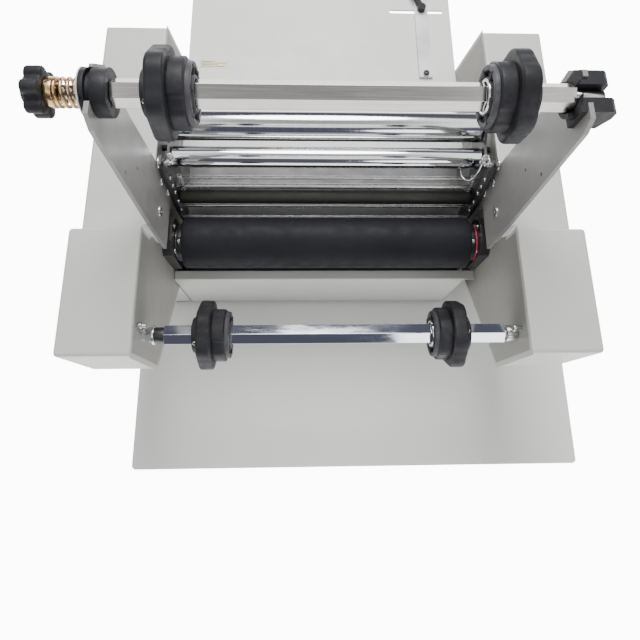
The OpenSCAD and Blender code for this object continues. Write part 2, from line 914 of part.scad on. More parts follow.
module gear(y, z, teeth, turn, bore) {
  mirror([1, 0, 0])
    difference() {
      along_x(gear_x, gear_x + gear_w) translate([y, z]) gear_outline(teeth, turn);
      rod_x(gear_x - 1, gear_x + gear_w + 1, y, z, bore);
    }
}

module upper_gear() {
  color("darkgray") gear(0, upper_z, roller_teeth, -90, journal_d);
}

module lower_gear() {
  color("darkgray") gear(0, lower_z, roller_teeth, 90 + 180 / roller_teeth, journal_d);
}

// The pinion's turn sets a tooth into the gap of the lower gear along the line of centres.
module motor_pinion() {
  phase = (90 + 180 / roller_teeth - pinion_bearing) * roller_teeth / pinion_teeth;
  color("darkgray") {
    gear(pinion_y, pinion_z, pinion_teeth, pinion_bearing + 180 + 180 / pinion_teeth - phase, 10);
    mirror([1, 0, 0]) rod_x(gear_x, motor_x + 12, pinion_y, pinion_z, 10);
  }
}

motor_x = pulley_x + pulley_w + 2;

// The motor hangs from the left side frame on a bridge clear of the gears.
module drive_motor() {
  back = pinion_y + 46;
  color("slategray")
    mirror([1, 0, 0]) {
      difference() {
        rod_x(motor_x, xo - cover_t - 2, pinion_y, pinion_z, motor_d);
        rod_x(motor_x - 1, motor_x + 13, pinion_y, pinion_z, 10 + 2 * run_fit);
      }
      translate([motor_x, pinion_y, pinion_z - 20])
        difference() {
          cube([6, 46, 40]);
          rotate([0, 90, 0]) translate([-20, 0, -1]) cylinder(d = motor_d - 2, h = 8);
        }
      translate([xi + frame_t, back - 6, pinion_z - 20]) cube([motor_x - xi - frame_t, 6, 40]);
    }
}

// ---------------------------------------------------------------- guide rollers

module idler_brackets() {
  color("dimgray")
    both_sides()
      difference() {
        union() {
          along_x(bracket_x, bracket_x + bracket_t)
            polygon([
              [36, rear_top_z - 112], [58, rear_top_z - 112], [70, rear_top_z - 70],
              [132, rear_top_z - 26], [140, rear_top_z - 2], [132, rear_top_z + 14],
              [104, rear_top_z + 12], [92, rear_top_z + 4], [64, rear_top_z + 4],
              [60, rear_top_z + 34], [48, rear_top_z + 34], [34, rear_top_z - 60]]);
          for (p = [[60, -30], [100, -22]])
            rod_x(bracket_x + bracket_t, xi, p[0], rear_top_z + p[1], 8);
          along_x(bracket_x, bracket_x + bracket_t)
            polygon([
              [infeed_front, table_z - table_t], [infeed_back, table_z - table_t],
              [infeed_back, table_z], [60, table_z], [57, rear_top_z - 108],
              [infeed_front, rear_top_z - 108]]);
          translate([-1, infeed_front, table_z - table_t])
            cube([bracket_x + 1, infeed_back - infeed_front, table_t]);
        }
        rod_x(bracket_x - 1, bracket_x + bracket_t + 1, idler_y, idler_z, idler_pin_d + 2 * run_fit);
        rod_x(bracket_x - 1, bracket_x + bracket_t + 1, chrome_y, chrome_z, idler_pin_d + 2 * run_fit);
        rod_x(bracket_x - 1, bracket_x + bracket_t + 1, tension_y, tension_z, idler_pin_d + 2 * run_fit);
      }
}

// A roller between the brackets with a pin at each end.
module guide_roller(y, z, d) {
  rod_x(-guide_roller_x, guide_roller_x, y, z, d);
  for (s = [-1, 1])
    rod_x(s > 0 ? guide_roller_x : -bracket_x - bracket_t, s > 0 ? bracket_x + bracket_t : -guide_roller_x,
      y, z, idler_pin_d);
}

module idler_roller() {
  color("silver") guide_roller(idler_y, idler_z, idler_d);
}

module chrome_roller() {
  color("lightgray") guide_roller(chrome_y, chrome_z, chrome_d);
}

module tension_roller() {
  color("dimgray") guide_roller(tension_y, tension_z, tension_d);
}

module guide_bars() {
  color("silver")
    for (p = bar_places)
      rod_x(-bracket_x, bracket_x, p[0], rear_top_z + p[1], p[2]);
}

// A small coil spring and hook on the inside of each bracket.
module return_springs() {
  color("silver")
    both_sides()
      translate([bracket_x - 4, 66, rear_top_z + 8])
        for (i = [0:4])
          translate([0, 0, i * 3])
            rotate_extrude() translate([3, 0]) circle(d = 1.6, $fn = 16);
}

// ---------------------------------------------------------------- feed table

module feed_table() {
  w = xi;
  y0 = infeed_back + gap;
  color("whitesmoke")
    difference() {
      union() {
        translate([-w, y0, table_z - table_t]) cube([2 * w, table_back - y0, table_t]);
        for (s = [-1, 1])
          translate([s > 0 ? w - table_t : -w, y0, table_z - table_lip])
            cube([table_t, table_back - y0, table_lip]);
        translate([-w, table_back - table_t, table_z - table_lip]) cube([2 * w, table_t, table_lip]);
      }
      table_slot(slot_low, slot_high, slot_y);
    }
}

// A round ended slot along X through the table sheet.
module table_slot(x0, x1, y) {
  translate([x0, y - slot_w / 2, table_z - table_t - 1]) cube([x1 - x0, slot_w, table_t + 2]);
  for (x = [x0, x1])
    translate([x, y, table_z - table_t - 1]) cylinder(d = slot_w, h = table_t + 2, $fn = 32);
}

module table_label() {
  color("khaki") translate([-xi + 17, 288, table_z]) cube([42, 14, 0.3]);
}

module side_guide() {
  color("whitesmoke")
    difference() {
      union() {
        translate([guide_x, guide_front, table_z + 0.3])
          cube([guide_w, table_back - 4 - guide_front, guide_t]);
        translate([guide_x + guide_w / 2, guide_front + 5, table_z + 0.3 + guide_t])
          cylinder(d = 8, h = 2.5);
      }
      translate([guide_x + guide_w / 2, slot_y, table_z]) cylinder(d = stud_d + 0.1, h = 20);
    }
}

// A clamp lever with a stud that runs in the table slot.
module guide_lever() {
  color("dimgray")
    translate([guide_x + guide_w / 2, slot_y, 0]) {
      translate([0, 0, table_z - table_t - 6]) cylinder(d = stud_d, h = guide_t + table_t + 8);
      translate([0, 0, table_z - table_t - 6]) cylinder(d = 12, h = 5);
      translate([0, 0, table_z + 0.3 + guide_t + 0.4]) cylinder(d = 12, h = 8);
      rotate([0, 0, 24]) translate([-3.5, 0, table_z + guide_t + 3]) cube([7, 32, 5]);
    }
}

// ---------------------------------------------------------------- controls

button_d = 16;
button_places = [[-18, 8], [18, 8]];
spindle_d = 8;
knob_z = console_z - 34;
lever_place_z = console_z - 90;
lever_shaft_d = 14;
inlet_z = foot_z + 40;
plate_t = 1.5;

module control_plate() {
  color("dimgray")
    console_place(panel_x, console_z - 14)
      difference() {
        translate([-32, -38, 0]) cube([64, 76, plate_t]);
        for (p = button_places)
          translate([p[0], -(p[1] + 14) / cos(console_lean), -1]) cylinder(d = button_d + 1, h = 6);
        translate([0, 20 / cos(console_lean), -1]) cylinder(d = spindle_d + 1, h = 6);
      }
}

// A push button with a stem behind the panel.
module push_button(p) {
  console_place(panel_x + p[0], console_z + p[1]) translate([0, 0, -8]) cylinder(d = button_d, h = 14);
}

module stop_button() {
  color("firebrick") push_button(button_places[0]);
}

module start_button() {
  color("seagreen") push_button(button_places[1]);
}

module speed_knob() {
  color("dimgray")
    console_place(panel_x, knob_z) {
      translate([0, 0, plate_t + 0.5]) cylinder(d1 = 26, d2 = 22, h = 14);
      translate([0, 0, -12]) cylinder(d = spindle_d, h = 20);
      translate([-1, -12.5, plate_t + 4]) cube([2, 3, 10.5]);
    }
}

module pressure_lever() {
  color("dimgray")
    console_place(panel_x, lever_place_z) {
      translate([0, 0, -16]) cylinder(d = lever_shaft_d, h = 30);
      translate([0, 0, 3]) cylinder(d = 26, h = 12);
      translate([-6, 0, 5]) cube([12, 62, 8]);
      translate([0, 62, 5]) cylinder(d = 18, h = 26);
    }
}

module power_inlet() {
  color("dimgray")
    console_place(-panel_x, inlet_z) {
      difference() {
        translate([-24, -15, 0]) cube([48, 30, 3]);
        translate([-12, -8, 0.5]) cube([24, 16, 5]);
      }
      translate([0, 0, -14]) cylinder(d = 22, h = 14.5);
    }
}

base_board();
machine_feet();
bottom_plate();
left_side_frame();
right_side_frame();
tie_rods();
left_front_cover();
right_front_cover();
left_rear_cover();
right_rear_cover();
left_lower_cover();
output_panel();
left_arm();
right_arm();
arm_spacers();
arm_screws();
fork_block();
tension_hub();
supply_bar();
tension_spring();
spring_washers();
tension_nut();
tension_knob();
supply_left_chuck();
supply_right_chuck();
takeup_bar();
takeup_coupling();
takeup_cup();
takeup_seat();
takeup_left_chuck();
takeup_right_chuck();
takeup_pulley();
drive_belt();
upper_blocks();
lower_blocks();
upper_core();
upper_rubber();
upper_gear();
seal_ring();
lower_core();
lower_rubber();
lower_gear();
drive_motor();
motor_pinion();
idler_brackets();
idler_roller();
chrome_roller();
tension_roller();
guide_bars();
return_springs();
feed_table();
table_label();
side_guide();
guide_lever();
control_plate();
stop_button();
start_button();
speed_knob();
pressure_lever();
power_inlet();
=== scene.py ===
"""Cold roll laminator: finishes, fine pieces, studio and camera around the CAD frame."""

import json
import math

import bmesh
import bpy
import numpy as np
from bpy.props import FloatProperty, FloatVectorProperty, IntProperty, PointerProperty
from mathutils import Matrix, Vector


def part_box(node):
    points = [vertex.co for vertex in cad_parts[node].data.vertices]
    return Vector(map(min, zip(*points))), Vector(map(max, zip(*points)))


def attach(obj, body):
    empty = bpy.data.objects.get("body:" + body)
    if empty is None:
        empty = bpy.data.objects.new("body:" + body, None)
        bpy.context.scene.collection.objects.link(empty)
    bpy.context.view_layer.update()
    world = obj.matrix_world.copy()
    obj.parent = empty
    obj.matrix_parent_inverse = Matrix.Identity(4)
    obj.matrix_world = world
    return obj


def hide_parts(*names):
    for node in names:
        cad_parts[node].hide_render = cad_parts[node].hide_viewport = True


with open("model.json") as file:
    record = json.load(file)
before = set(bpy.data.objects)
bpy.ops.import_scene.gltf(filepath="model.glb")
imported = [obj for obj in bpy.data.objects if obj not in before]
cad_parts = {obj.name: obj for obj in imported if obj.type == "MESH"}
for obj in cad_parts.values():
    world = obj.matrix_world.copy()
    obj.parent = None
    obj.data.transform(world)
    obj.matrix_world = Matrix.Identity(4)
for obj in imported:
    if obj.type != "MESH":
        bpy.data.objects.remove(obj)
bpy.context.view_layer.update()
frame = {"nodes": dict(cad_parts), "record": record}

bl_info = {
    "name": "Cold roll laminator",
    "version": (1, 0, 0),
    "blender": (4, 5, 0),
    "location": "View3D > Sidebar > Laminator",
    "description": "Dresses the frame of a bench-top cold roll laminator",
    "category": "Object",
}

MM = 0.001
TAU = 2 * math.pi
MERGE = 2e-6  # points of a mesh closer than this are one point
FLAT = math.radians(0.4)  # faces that meet at less than this are one flat face
CONSOLE_LEAN = math.radians(14)  # lean of the operator faces from upright
HEX_BORE = 10.1 * MM  # from the middle of a chuck's bore to its flats
FOOT_Z = 24 * MM  # underside of the housings
FLOOR_DROP = 0.2 * MM  # keeps the floor just under the base board
FLOOR_LIGHT = 1.6  # the light that the floor sheds
RECORD_COLOUR = {m["slot"]: m["base_color"][:3] for m in frame["record"]["materials"]}
NODE_SLOT = {s["node"]: s["material_slot"] for s in frame["record"]["subparts"]}


# ---------------------------------------------------------------- settings


def colour_property(name, description, colour):
    """A colour setting."""
    return FloatVectorProperty(
        name=name, description=description, subtype="COLOR", size=3, min=0, max=1,
        default=colour)


class PaintSettings(bpy.types.PropertyGroup):
    """Colours of the main finishes."""

    cover: colour_property("Covers", "Powder coat of the housings", (0.64, 0.645, 0.605))
    # painted shade: the side frames wear the covers' paint, set much darker here for the shade on
    # their inner faces
    side: colour_property("Side frames", "Powder coat of the side frames", (0.34, 0.335, 0.305))
    arm: colour_property("Arms", "Powder coat of the shaft arms", (0.27, 0.265, 0.25))
    board: colour_property("Board", "Laminate of the base board", (0.86, 0.86, 0.83))
    plastic: colour_property("Plastic", "Moulded chucks, hub and knobs", (0.016, 0.016, 0.019))
    rubber: colour_property("Rubber", "Covering of the nip rollers", (0.012, 0.012, 0.015))
    zinc: colour_property("Zinc", "Yellow zinc of the tension spring", (0.62, 0.45, 0.18))


class DetailSettings(bpy.types.PropertyGroup):
    """Sizes of the fine pieces."""

    cover_edge: FloatProperty(
        name="Cover edge", description="Rounding of the folded sheet edges", unit="LENGTH",
        default=4 * MM, min=0.5 * MM, max=6 * MM)
    small_edge: FloatProperty(
        name="Small edge", description="Rounding of machined and moulded edges", unit="LENGTH",
        default=0.4 * MM, min=0.05 * MM, max=2 * MM)
    edge_steps: IntProperty(
        name="Edge steps", description="Segments across a rounded edge", default=3, min=1, max=6)
    round_steps: IntProperty(
        name="Round steps", description="Segments round a turned piece", default=96, min=24,
        max=256)
    spring_wire: FloatProperty(
        name="Spring wire", description="Wire diameter of the tension spring", unit="LENGTH",
        default=3 * MM, min=1 * MM, max=4 * MM)
    spring_turns: FloatProperty(
        name="Spring turns", description="Turns of the tension spring", default=3.6, min=2, max=6)


class StudioSettings(bpy.types.PropertyGroup):
    """Camera and lights."""

    camera_place: FloatVectorProperty(
        name="Camera place", description="Where the camera stands", subtype="TRANSLATION",
        unit="LENGTH", size=3, default=(-0.0315, -0.2368, 0.8408))
    camera_turn: FloatVectorProperty(
        name="Camera turn", description="Camera angles", subtype="EULER", unit="ROTATION", size=3,
        default=(0.2963, -0.0361, -0.0128))
    camera_lens: FloatProperty(
        name="Lens", description="Focal length on a 36 mm sensor in millimetres", default=30.73)
    camera_shift: FloatVectorProperty(
        name="Shift", description="Lens shift", size=2, default=(-0.0047, -0.078))
    floor_glow: FloatProperty(
        name="Floor glow", description="How much brighter the camera sees the floor",
        default=9.0, min=0)
    sky_light: FloatProperty(
        name="Sky", description="Strength of the surrounding light", default=1.75, min=0)
    top_light: FloatProperty(
        name="Top light", description="Power of the overhead softbox", subtype="POWER",
        unit="POWER", default=62, min=0)
    front_light: FloatProperty(
        name="Front light", description="Power of the softbox at the output side",
        subtype="POWER", unit="POWER", default=7, min=0)


# ---------------------------------------------------------------- places from the frame


def middle(node):
    """Middle of a node's box."""
    low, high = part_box(node)
    return (low + high) / 2


# ---------------------------------------------------------------- meshes


def grid_faces(rows, cols, wrap_rows=False, wrap_cols=True):
    """Quads of a grid of points, row by row, joined round where it wraps."""
    r = np.arange(rows if wrap_rows else rows - 1)
    c = np.arange(cols if wrap_cols else cols - 1)
    r, c = (a.ravel() for a in np.meshgrid(r, c, indexing="ij"))
    r2, c2 = (r + 1) % rows, (c + 1) % cols
    return np.stack([r * cols + c, r * cols + c2, r2 * cols + c2, r2 * cols + c], 1)


def mesh_object(name, parts):
    """One object from (points, faces) parts: doubles merged, normals outwards, smooth by angle."""
    points, faces, start = [], [], 0
    for p, f in parts:
        p = np.asarray(p, float).reshape(-1, 3)
        points.append(p)
        faces.extend((np.asarray(f) + start).tolist())
        start += len(p)
    mesh = bpy.data.meshes.new(name)
    mesh.from_pydata(np.concatenate(points).tolist(), [], faces)
    bm = bmesh.new()
    bm.from_mesh(mesh)
    bmesh.ops.remove_doubles(bm, verts=bm.verts, dist=MERGE)
    bmesh.ops.dissolve_degenerate(bm, edges=bm.edges, dist=1e-7)
    bmesh.ops.recalc_face_normals(bm, faces=bm.faces)
    bm.to_mesh(mesh)
    bm.free()
    mesh.shade_smooth()
    mesh.set_sharp_from_angle(angle=math.radians(38))
    obj = bpy.data.objects.new(name, mesh)
    bpy.context.scene.collection.objects.link(obj)
    return obj


def add_piece(name, parts, body, slot, stands_for=(), look=None):
    """A piece in its slot's finish, or another look, riding on a body and standing for the CAD
    nodes named."""
    obj = mesh_object(name, parts)
    obj.data.materials.append(finish(look or slot))
    if stands_for:
        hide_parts(*stands_for)
    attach(obj, body)
    return obj


def frame_of(axis):
    """Two unit vectors square to an axis, and the axis."""
    w = np.asarray(axis, float)
    w = w / np.linalg.norm(w)
    help_axis = np.array([0, 0, 1.0]) if abs(w[2]) < 0.9 else np.array([0, 1.0, 0])
    u = np.cross(help_axis, w)
    u /= np.linalg.norm(u)
    return u, np.cross(w, u), w


def turned(profile, centre, axis, steps, radius_of=None):
    """Surface of revolution: a point goes round the axis at the profile's radius and distance
    along the axis. radius_of(row radius, angle) may make the radius depend on the angle."""
    profile = np.asarray(profile, float)
    along, radius = profile[:, 0], profile[:, 1]
    angle = np.arange(steps) * TAU / steps
    u, v, w = frame_of(axis)
    r = radius[:, None] * np.ones(steps)
    if radius_of is not None:
        r = radius_of(r, angle[None, :])
    p = (np.asarray(centre, float) + along[:, None, None] * w
         + r[..., None] * (np.cos(angle)[None, :, None] * u + np.sin(angle)[None, :, None] * v))
    return p, grid_faces(len(profile), steps)


def rounded_profile(corners, radius, steps=4):
    """A profile polyline whose inner corners are rounded: each corner becomes a quadratic curve
    that starts and ends at the given distance from it along its two sides."""
    corners = np.asarray(corners, float)
    out = [corners[0]]
    for a, b, c in zip(corners[:-2], corners[1:-1], corners[2:]):
        cut = min(radius, np.linalg.norm(b - a) * 0.45, np.linalg.norm(c - b) * 0.45)
        p = b + (a - b) / max(np.linalg.norm(a - b), 1e-9) * cut
        q = b + (c - b) / max(np.linalg.norm(c - b), 1e-9) * cut
        t = np.linspace(0, 1, steps + 1)[:, None]
        out.extend((1 - t) ** 2 * p + 2 * t * (1 - t) * b + t ** 2 * q)
    out.append(corners[-1])
    return np.array(out)


def tube(path, radius, steps=12):
    """A round tube along a path: each ring lies square to the path's direction, its first vector
    carried from ring to ring by taking out the part along the direction. Flat ends."""
    path = np.asarray(path, float)
    t = np.gradient(path, axis=0)
    t /= np.linalg.norm(t, axis=1)[:, None]
    u = np.empty_like(t)
    u[0] = frame_of(t[0])[0]
    for i in range(1, len(t)):
        u[i] = u[i - 1] - t[i] * np.dot(u[i - 1], t[i])
        u[i] /= np.linalg.norm(u[i])
    v = np.cross(t, u)
    a = np.arange(steps) * TAU / steps
    ring = np.cos(a)[None, :, None] * u[:, None] + np.sin(a)[None, :, None] * v[:, None]
    rings = path[:, None] + radius * ring
    ends = [np.repeat(path[i][None, None], steps, 1) for i in (0, -1)]
    p = np.concatenate([ends[0], rings, ends[1]])
    return p, grid_faces(len(p), steps)


def helix(centre, axis, radius, length, turns, points_per_turn=28, start=0.0):
    """Points of a helix whose end turns lie flat: the climb eases in and out at both ends."""
    n = int(turns * points_per_turn) + 1
    t = np.linspace(0, 1, n)
    ease = np.clip((t - 0.5) * 1.22 + 0.5, 0, 1)
    u, v, w = frame_of(axis)
    a = start + t * turns * TAU
    return (np.asarray(centre, float) + (ease * length)[:, None] * w
            + radius * (np.cos(a)[:, None] * u + np.sin(a)[:, None] * v))


def smooth_path(points, count):
    """A Catmull-Rom curve through the points, as count points."""
    p = np.asarray(points, float)
    p = np.concatenate([2 * p[:1] - p[1:2], p, 2 * p[-1:] - p[-2:-1]])
    s = np.linspace(0, len(points) - 1 - 1e-6, count)
    i = s.astype(int)
    t = (s - i)[:, None]
    a, b, c, d = (p[i + k] for k in range(4))
    return 0.5 * (2 * b + (c - a) * t + (2 * a - 5 * b + 4 * c - d) * t ** 2
                  + (3 * b - a - 3 * c + d) * t ** 3)


def slab(outline, x0, x1, edge, steps=3):
    """A plate from an outline in Y and Z between x0 and x1 with rounded edges: rings of the
    outline shrink towards its middle by the rounding's inset, and close at the middle."""
    o = np.asarray(outline, float)
    mid = o.mean(0)
    a = np.linspace(0, math.pi / 2, steps + 1)
    inset = np.concatenate([edge * (1 - np.sin(a)), edge * (1 - np.cos(a))])
    along = np.concatenate([x0 + edge * (1 - np.cos(a)), x1 - edge * (1 - np.sin(a))])
    normal = outline_normals(o)
    rings = [np.repeat(mid[None], len(o), 0)]
    rings += [o - normal * i for i in inset]
    rings.append(rings[0])
    xs = np.concatenate([[x0], along, [x1]])
    p = np.stack([np.column_stack([np.full(len(o), x), r]) for x, r in zip(xs, rings)])
    return p, grid_faces(len(p), len(o))


def outline_normals(o):
    """Outward normals of a closed outline, from its neighbours' chord."""
    t = np.roll(o, -1, 0) - np.roll(o, 1, 0)
    n = np.column_stack([t[:, 1], -t[:, 0]])
    n /= np.maximum(np.linalg.norm(n, axis=1), 1e-9)[:, None]
    area = np.sum(o[:, 0] * np.roll(o[:, 1], -1) - np.roll(o[:, 0], -1) * o[:, 1])
    return n if area > 0 else -n


def long_hole_outline(a, b, width, steps=12):
    """A bar outline with round ends between two points in Y and Z."""
    a, b = np.asarray(a, float), np.asarray(b, float)
    d = (b - a) / np.linalg.norm(b - a)
    turn = math.atan2(d[1], d[0])
    t = np.linspace(-math.pi / 2, math.pi / 2, steps)
    end = b + width / 2 * np.column_stack([np.cos(turn + t), np.sin(turn + t)])
    start = a - width / 2 * np.column_stack([np.cos(turn + t), np.sin(turn + t)])
    return np.concatenate([end, start])


def socket_screw(centre, axis, head_d, head_h, steps=36):
    """A button head with a hexagon socket: the radius is hexagonal inside the socket's rim and
    round outside it, over a crowned profile."""
    r = head_d / 2
    s = r * 0.52
    rows = np.array([
        [head_h * 0.35, 0], [head_h * 0.35, s], [head_h * 0.97, s], [head_h, s * 1.12],
        [head_h * 0.9, r * 0.78], [head_h * 0.6, r * 0.96], [head_h * 0.25, r], [0, r], [0, 0]])

    def hexagon(row_radius, angle):
        near = np.abs((angle + math.pi / 6) % (math.pi / 3) - math.pi / 6)
        flat = row_radius * math.cos(math.pi / 6) / np.cos(near)
        inner = np.arange(len(rows))[:, None] < 3
        return np.where(inner, flat, row_radius)

    return turned(rows, centre, axis, steps, hexagon)


def hex_head(centre, axis, across, height, steps=48):
    """A hexagon nut or bolt head with chamfered corners: the radius is the smaller of the
    hexagon's and a cone's."""
    r = across / 2 / math.cos(math.pi / 6)
    rows = np.array([[0, 0], [0, 1.0], [height * 0.82, 1.0], [height, 0.86], [height, 0.5],
                     [height * 1.25, 0.48], [height * 1.32, 0.42], [height * 1.32, 0]])

    def hexagon(row_radius, angle):
        near = np.abs((angle + math.pi / 6) % (math.pi / 3) - math.pi / 6)
        flat = r * math.cos(math.pi / 6) / np.cos(near)
        faceted = np.arange(len(rows))[:, None] < 4
        return np.where(faceted, np.minimum(flat, r * 0.97) * row_radius,
                        across / 2 * row_radius)

    return turned(rows, centre, axis, steps, hexagon)


# ---------------------------------------------------------------- finishes


class Finish:
    """A node material: a principled shader and a few chained textures on Object coordinates."""

    def __init__(self, name, metal=0.0, coat=0.0, coat_rough=0.1, specular=0.5):
        self.mat = bpy.data.materials.new(name)
        self.mat.use_nodes = True
        self.tree = self.mat.node_tree
        self.shader = self.tree.nodes["Principled BSDF"]
        self.shader.inputs["Metallic"].default_value = metal
        self.shader.inputs["Coat Weight"].default_value = coat
        self.shader.inputs["Coat Roughness"].default_value = coat_rough
        self.shader.inputs["Specular IOR Level"].default_value = specular
        self.coords = self.tree.nodes.new("ShaderNodeTexCoord")

    def feed(self, socket, value):
        """Links another node's output into a socket, or sets the socket to a plain value."""
        if isinstance(value, bpy.types.NodeSocket):
            self.tree.links.new(value, socket)
        else:
            socket.default_value = value

    def node(self, kind, **inputs):
        """A new node with its inputs linked or set; an underscore stands for a space."""
        made = self.tree.nodes.new(kind)
        for key, value in inputs.items():
            self.feed(made.inputs[key.replace("_", " ")], value)
        return made

    def place(self, stretch=(1, 1, 1)):
        """Object coordinates, stretched."""
        return self.node("ShaderNodeMapping", Vector=self.coords.outputs["Object"],
                         Scale=stretch).outputs["Vector"]

    def noise(self, scale, detail=3.0, rough=0.55, stretch=(1, 1, 1)):
        """Noise at a scale in cycles per metre."""
        return self.node("ShaderNodeTexNoise", Vector=self.place(stretch), Scale=scale,
                         Detail=detail, Roughness=rough).outputs["Fac"]

    def ramp(self, value, low, high, to_low=0.0, to_high=1.0):
        """A value clamped and mapped from one range to another."""
        made = self.node("ShaderNodeMapRange", Value=value)
        for key, number in zip(("From Min", "From Max", "To Min", "To Max"),
                               (low, high, to_low, to_high)):
            made.inputs[key].default_value = number
        return made.outputs["Result"]

    def mix(self, factor, a, b):
        """Colour a where the factor is 0 and b where it is 1."""
        made = self.tree.nodes.new("ShaderNodeMix")
        made.data_type = "RGBA"
        self.tree.links.new(factor, made.inputs["Factor"])
        for socket, value in ((made.inputs[6], a), (made.inputs[7], b)):
            self.feed(socket, value if isinstance(value, bpy.types.NodeSocket) else (*value, 1))
        return made.outputs[2]

    def math(self, operation, a, b):
        """A Math node on two values."""
        made = self.tree.nodes.new("ShaderNodeMath")
        made.operation = operation
        for socket, value in zip(made.inputs, (a, b)):
            self.feed(socket, value)
        return made.outputs[0]

    def set(self, socket, value):
        """Links or sets a shader input."""
        self.feed(self.shader.inputs[socket], value)

    def bump(self, height, depth, strength=1.0, under=None):
        """A bump of a depth in metres."""
        made = self.node("ShaderNodeBump", Height=height, Distance=depth, Strength=strength)
        if under is not None:
            self.tree.links.new(under, made.inputs["Normal"])
        return made.outputs["Normal"]

    def done(self):
        """The finished material."""
        return self.mat


def shade(colour, factor):
    """A colour made lighter or darker."""
    return tuple(min(1.0, max(0.0, c * factor)) for c in colour)


def powder_coat(name, colour, rough=0.42, peel=0.00006, soil=0.12):
    """Powder coat: fine orange peel, a slow drift in tone and a trace of handling marks."""
    f = Finish(name, coat=0.12, coat_rough=0.25)
    drift = f.ramp(f.noise(9, 3), 0.35, 0.68)
    marks = f.ramp(f.noise(60, 5, 0.65, (1, 1, 0.35)), 0.56, 0.78)
    base = f.mix(drift, shade(colour, 0.965), shade(colour, 1.03))
    f.set("Base Color", f.mix(f.math("MULTIPLY", marks, soil), base, shade(colour, 0.72)))
    f.set("Roughness", f.ramp(f.noise(45, 4), 0.3, 0.7, rough - 0.06, rough + 0.1))
    pits = f.bump(f.noise(1900, 2), peel * 0.35)
    f.set("Normal", f.bump(f.noise(520, 2, 0.4), peel, 1.0, pits))
    return f.done()


def laminate(name, colour):
    """White board laminate: a fine pebbled press texture and faint scuffs."""
    f = Finish(name, coat=0.06, coat_rough=0.3)
    scuff = f.ramp(f.noise(34, 6, 0.7, (0.4, 1, 1)), 0.58, 0.8)
    tone = f.mix(f.ramp(f.noise(3.2, 2), 0.3, 0.7), shade(colour, 0.97), shade(colour, 1.02))
    f.set("Base Color", f.mix(f.math("MULTIPLY", scuff, 0.25), tone, shade(colour, 0.86)))
    f.set("Roughness", f.ramp(f.noise(240, 3), 0.3, 0.7, 0.36, 0.5))
    f.set("Normal", f.bump(f.noise(1400, 2), 0.00003))
    return f.done()


def moulded(name, colour, rough=0.5, dust=0.2, specular=0.28):
    """Moulded dark plastic: spark-eroded grain, faint flow lines and a little pale dust."""
    f = Finish(name, specular=specular)
    dusty = f.ramp(f.noise(38, 6, 0.68), 0.5, 0.82)
    tone = f.mix(f.ramp(f.noise(14, 3), 0.35, 0.65), shade(colour, 0.8), shade(colour, 1.35))
    f.set("Base Color", f.mix(f.math("MULTIPLY", dusty, dust), tone, (0.16, 0.16, 0.17)))
    f.set("Roughness", f.ramp(f.noise(110, 4), 0.3, 0.72, rough - 0.1, rough + 0.14))
    flow = f.bump(f.noise(30, 4, 0.5, (4, 1, 1)), 0.00008, 0.6)
    f.set("Normal", f.bump(f.noise(2600, 2), 0.00003, 1.0, flow))
    return f.done()


def brushed(name, colour, stretch, rough=0.28, line=0.000012, stain=0.3):
    """Metal with fine lines along the axis of the smallest stretch, and dull handling spots."""
    f = Finish(name, metal=1.0)
    lines = f.noise(900, 3, 0.6, stretch)
    spots = f.ramp(f.noise(42, 5, 0.6), 0.52, 0.78)
    tone = f.mix(f.ramp(lines, 0.3, 0.7), shade(colour, 0.88), shade(colour, 1.1))
    f.set("Base Color", f.mix(f.math("MULTIPLY", spots, stain), tone, shade(colour, 0.62)))
    wear = f.ramp(lines, 0.25, 0.75, rough - 0.08, rough + 0.08)
    f.set("Roughness", f.math("ADD", wear, f.math("MULTIPLY", spots, 0.12)))
    f.set("Normal", f.bump(lines, line))
    return f.done()


def polished(name, colour, rough=0.05, smear=0.1):
    """Polished metal: near mirror, with faint smears along X and tiny dust specks."""
    f = Finish(name, metal=1.0)
    smears = f.ramp(f.noise(55, 5, 0.62, (0.25, 1, 1)), 0.5, 0.8)
    specks = f.ramp(f.noise(700, 2), 0.74, 0.8)
    f.set("Base Color", f.mix(f.math("MULTIPLY", specks, 0.4), colour, shade(colour, 0.45)))
    f.set("Roughness", f.math("ADD", f.math("MULTIPLY", smears, smear), rough))
    f.set("Normal", f.bump(f.noise(9, 2, 0.5, (0.5, 1, 1)), 0.0001, 0.5))
    return f.done()


def turned_metal(name, colour, rough=0.12):
    """Turned aluminium: rings round the X axis from a wave along X, broken by noise."""
    f = Finish(name, metal=1.0)
    rings = f.noise(700, 2, 0.5, (1, 0.01, 0.01))
    tone = f.mix(f.ramp(rings, 0.3, 0.7), shade(colour, 0.96), shade(colour, 1.03))
    cloud = f.ramp(f.noise(30, 4, 0.6, (0.3, 1, 1)), 0.5, 0.78)
    f.set("Base Color", f.mix(f.math("MULTIPLY", cloud, 0.25), tone, shade(colour, 0.7)))
    f.set("Roughness", f.ramp(rings, 0.2, 0.8, rough - 0.04, rough + 0.04))
    f.set("Normal", f.bump(rings, 0.0000012))
    return f.done()


def ground_rubber(name, colour):
    """Ground rubber: fine grinding lines round the roller, a soft bloom and lint specks."""
    f = Finish(name, specular=0.16)
    bloom = f.ramp(f.noise(16, 5, 0.6, (0.5, 1, 1)), 0.42, 0.78)
    lint = f.ramp(f.noise(1100, 1), 0.78, 0.82)
    tone = f.mix(bloom, colour, shade(colour, 1.55))
    f.set("Base Color", f.mix(f.math("MULTIPLY", lint, 0.3), tone, (0.3, 0.3, 0.3)))
    f.set("Roughness", f.ramp(f.noise(70, 4), 0.3, 0.7, 0.48, 0.66))
    lines = f.bump(f.noise(1300, 2, 0.5, (1, 0.06, 0.06)), 0.00002)
    f.set("Normal", f.bump(f.noise(2400, 1), 0.00001, 0.6, lines))
    return f.done()


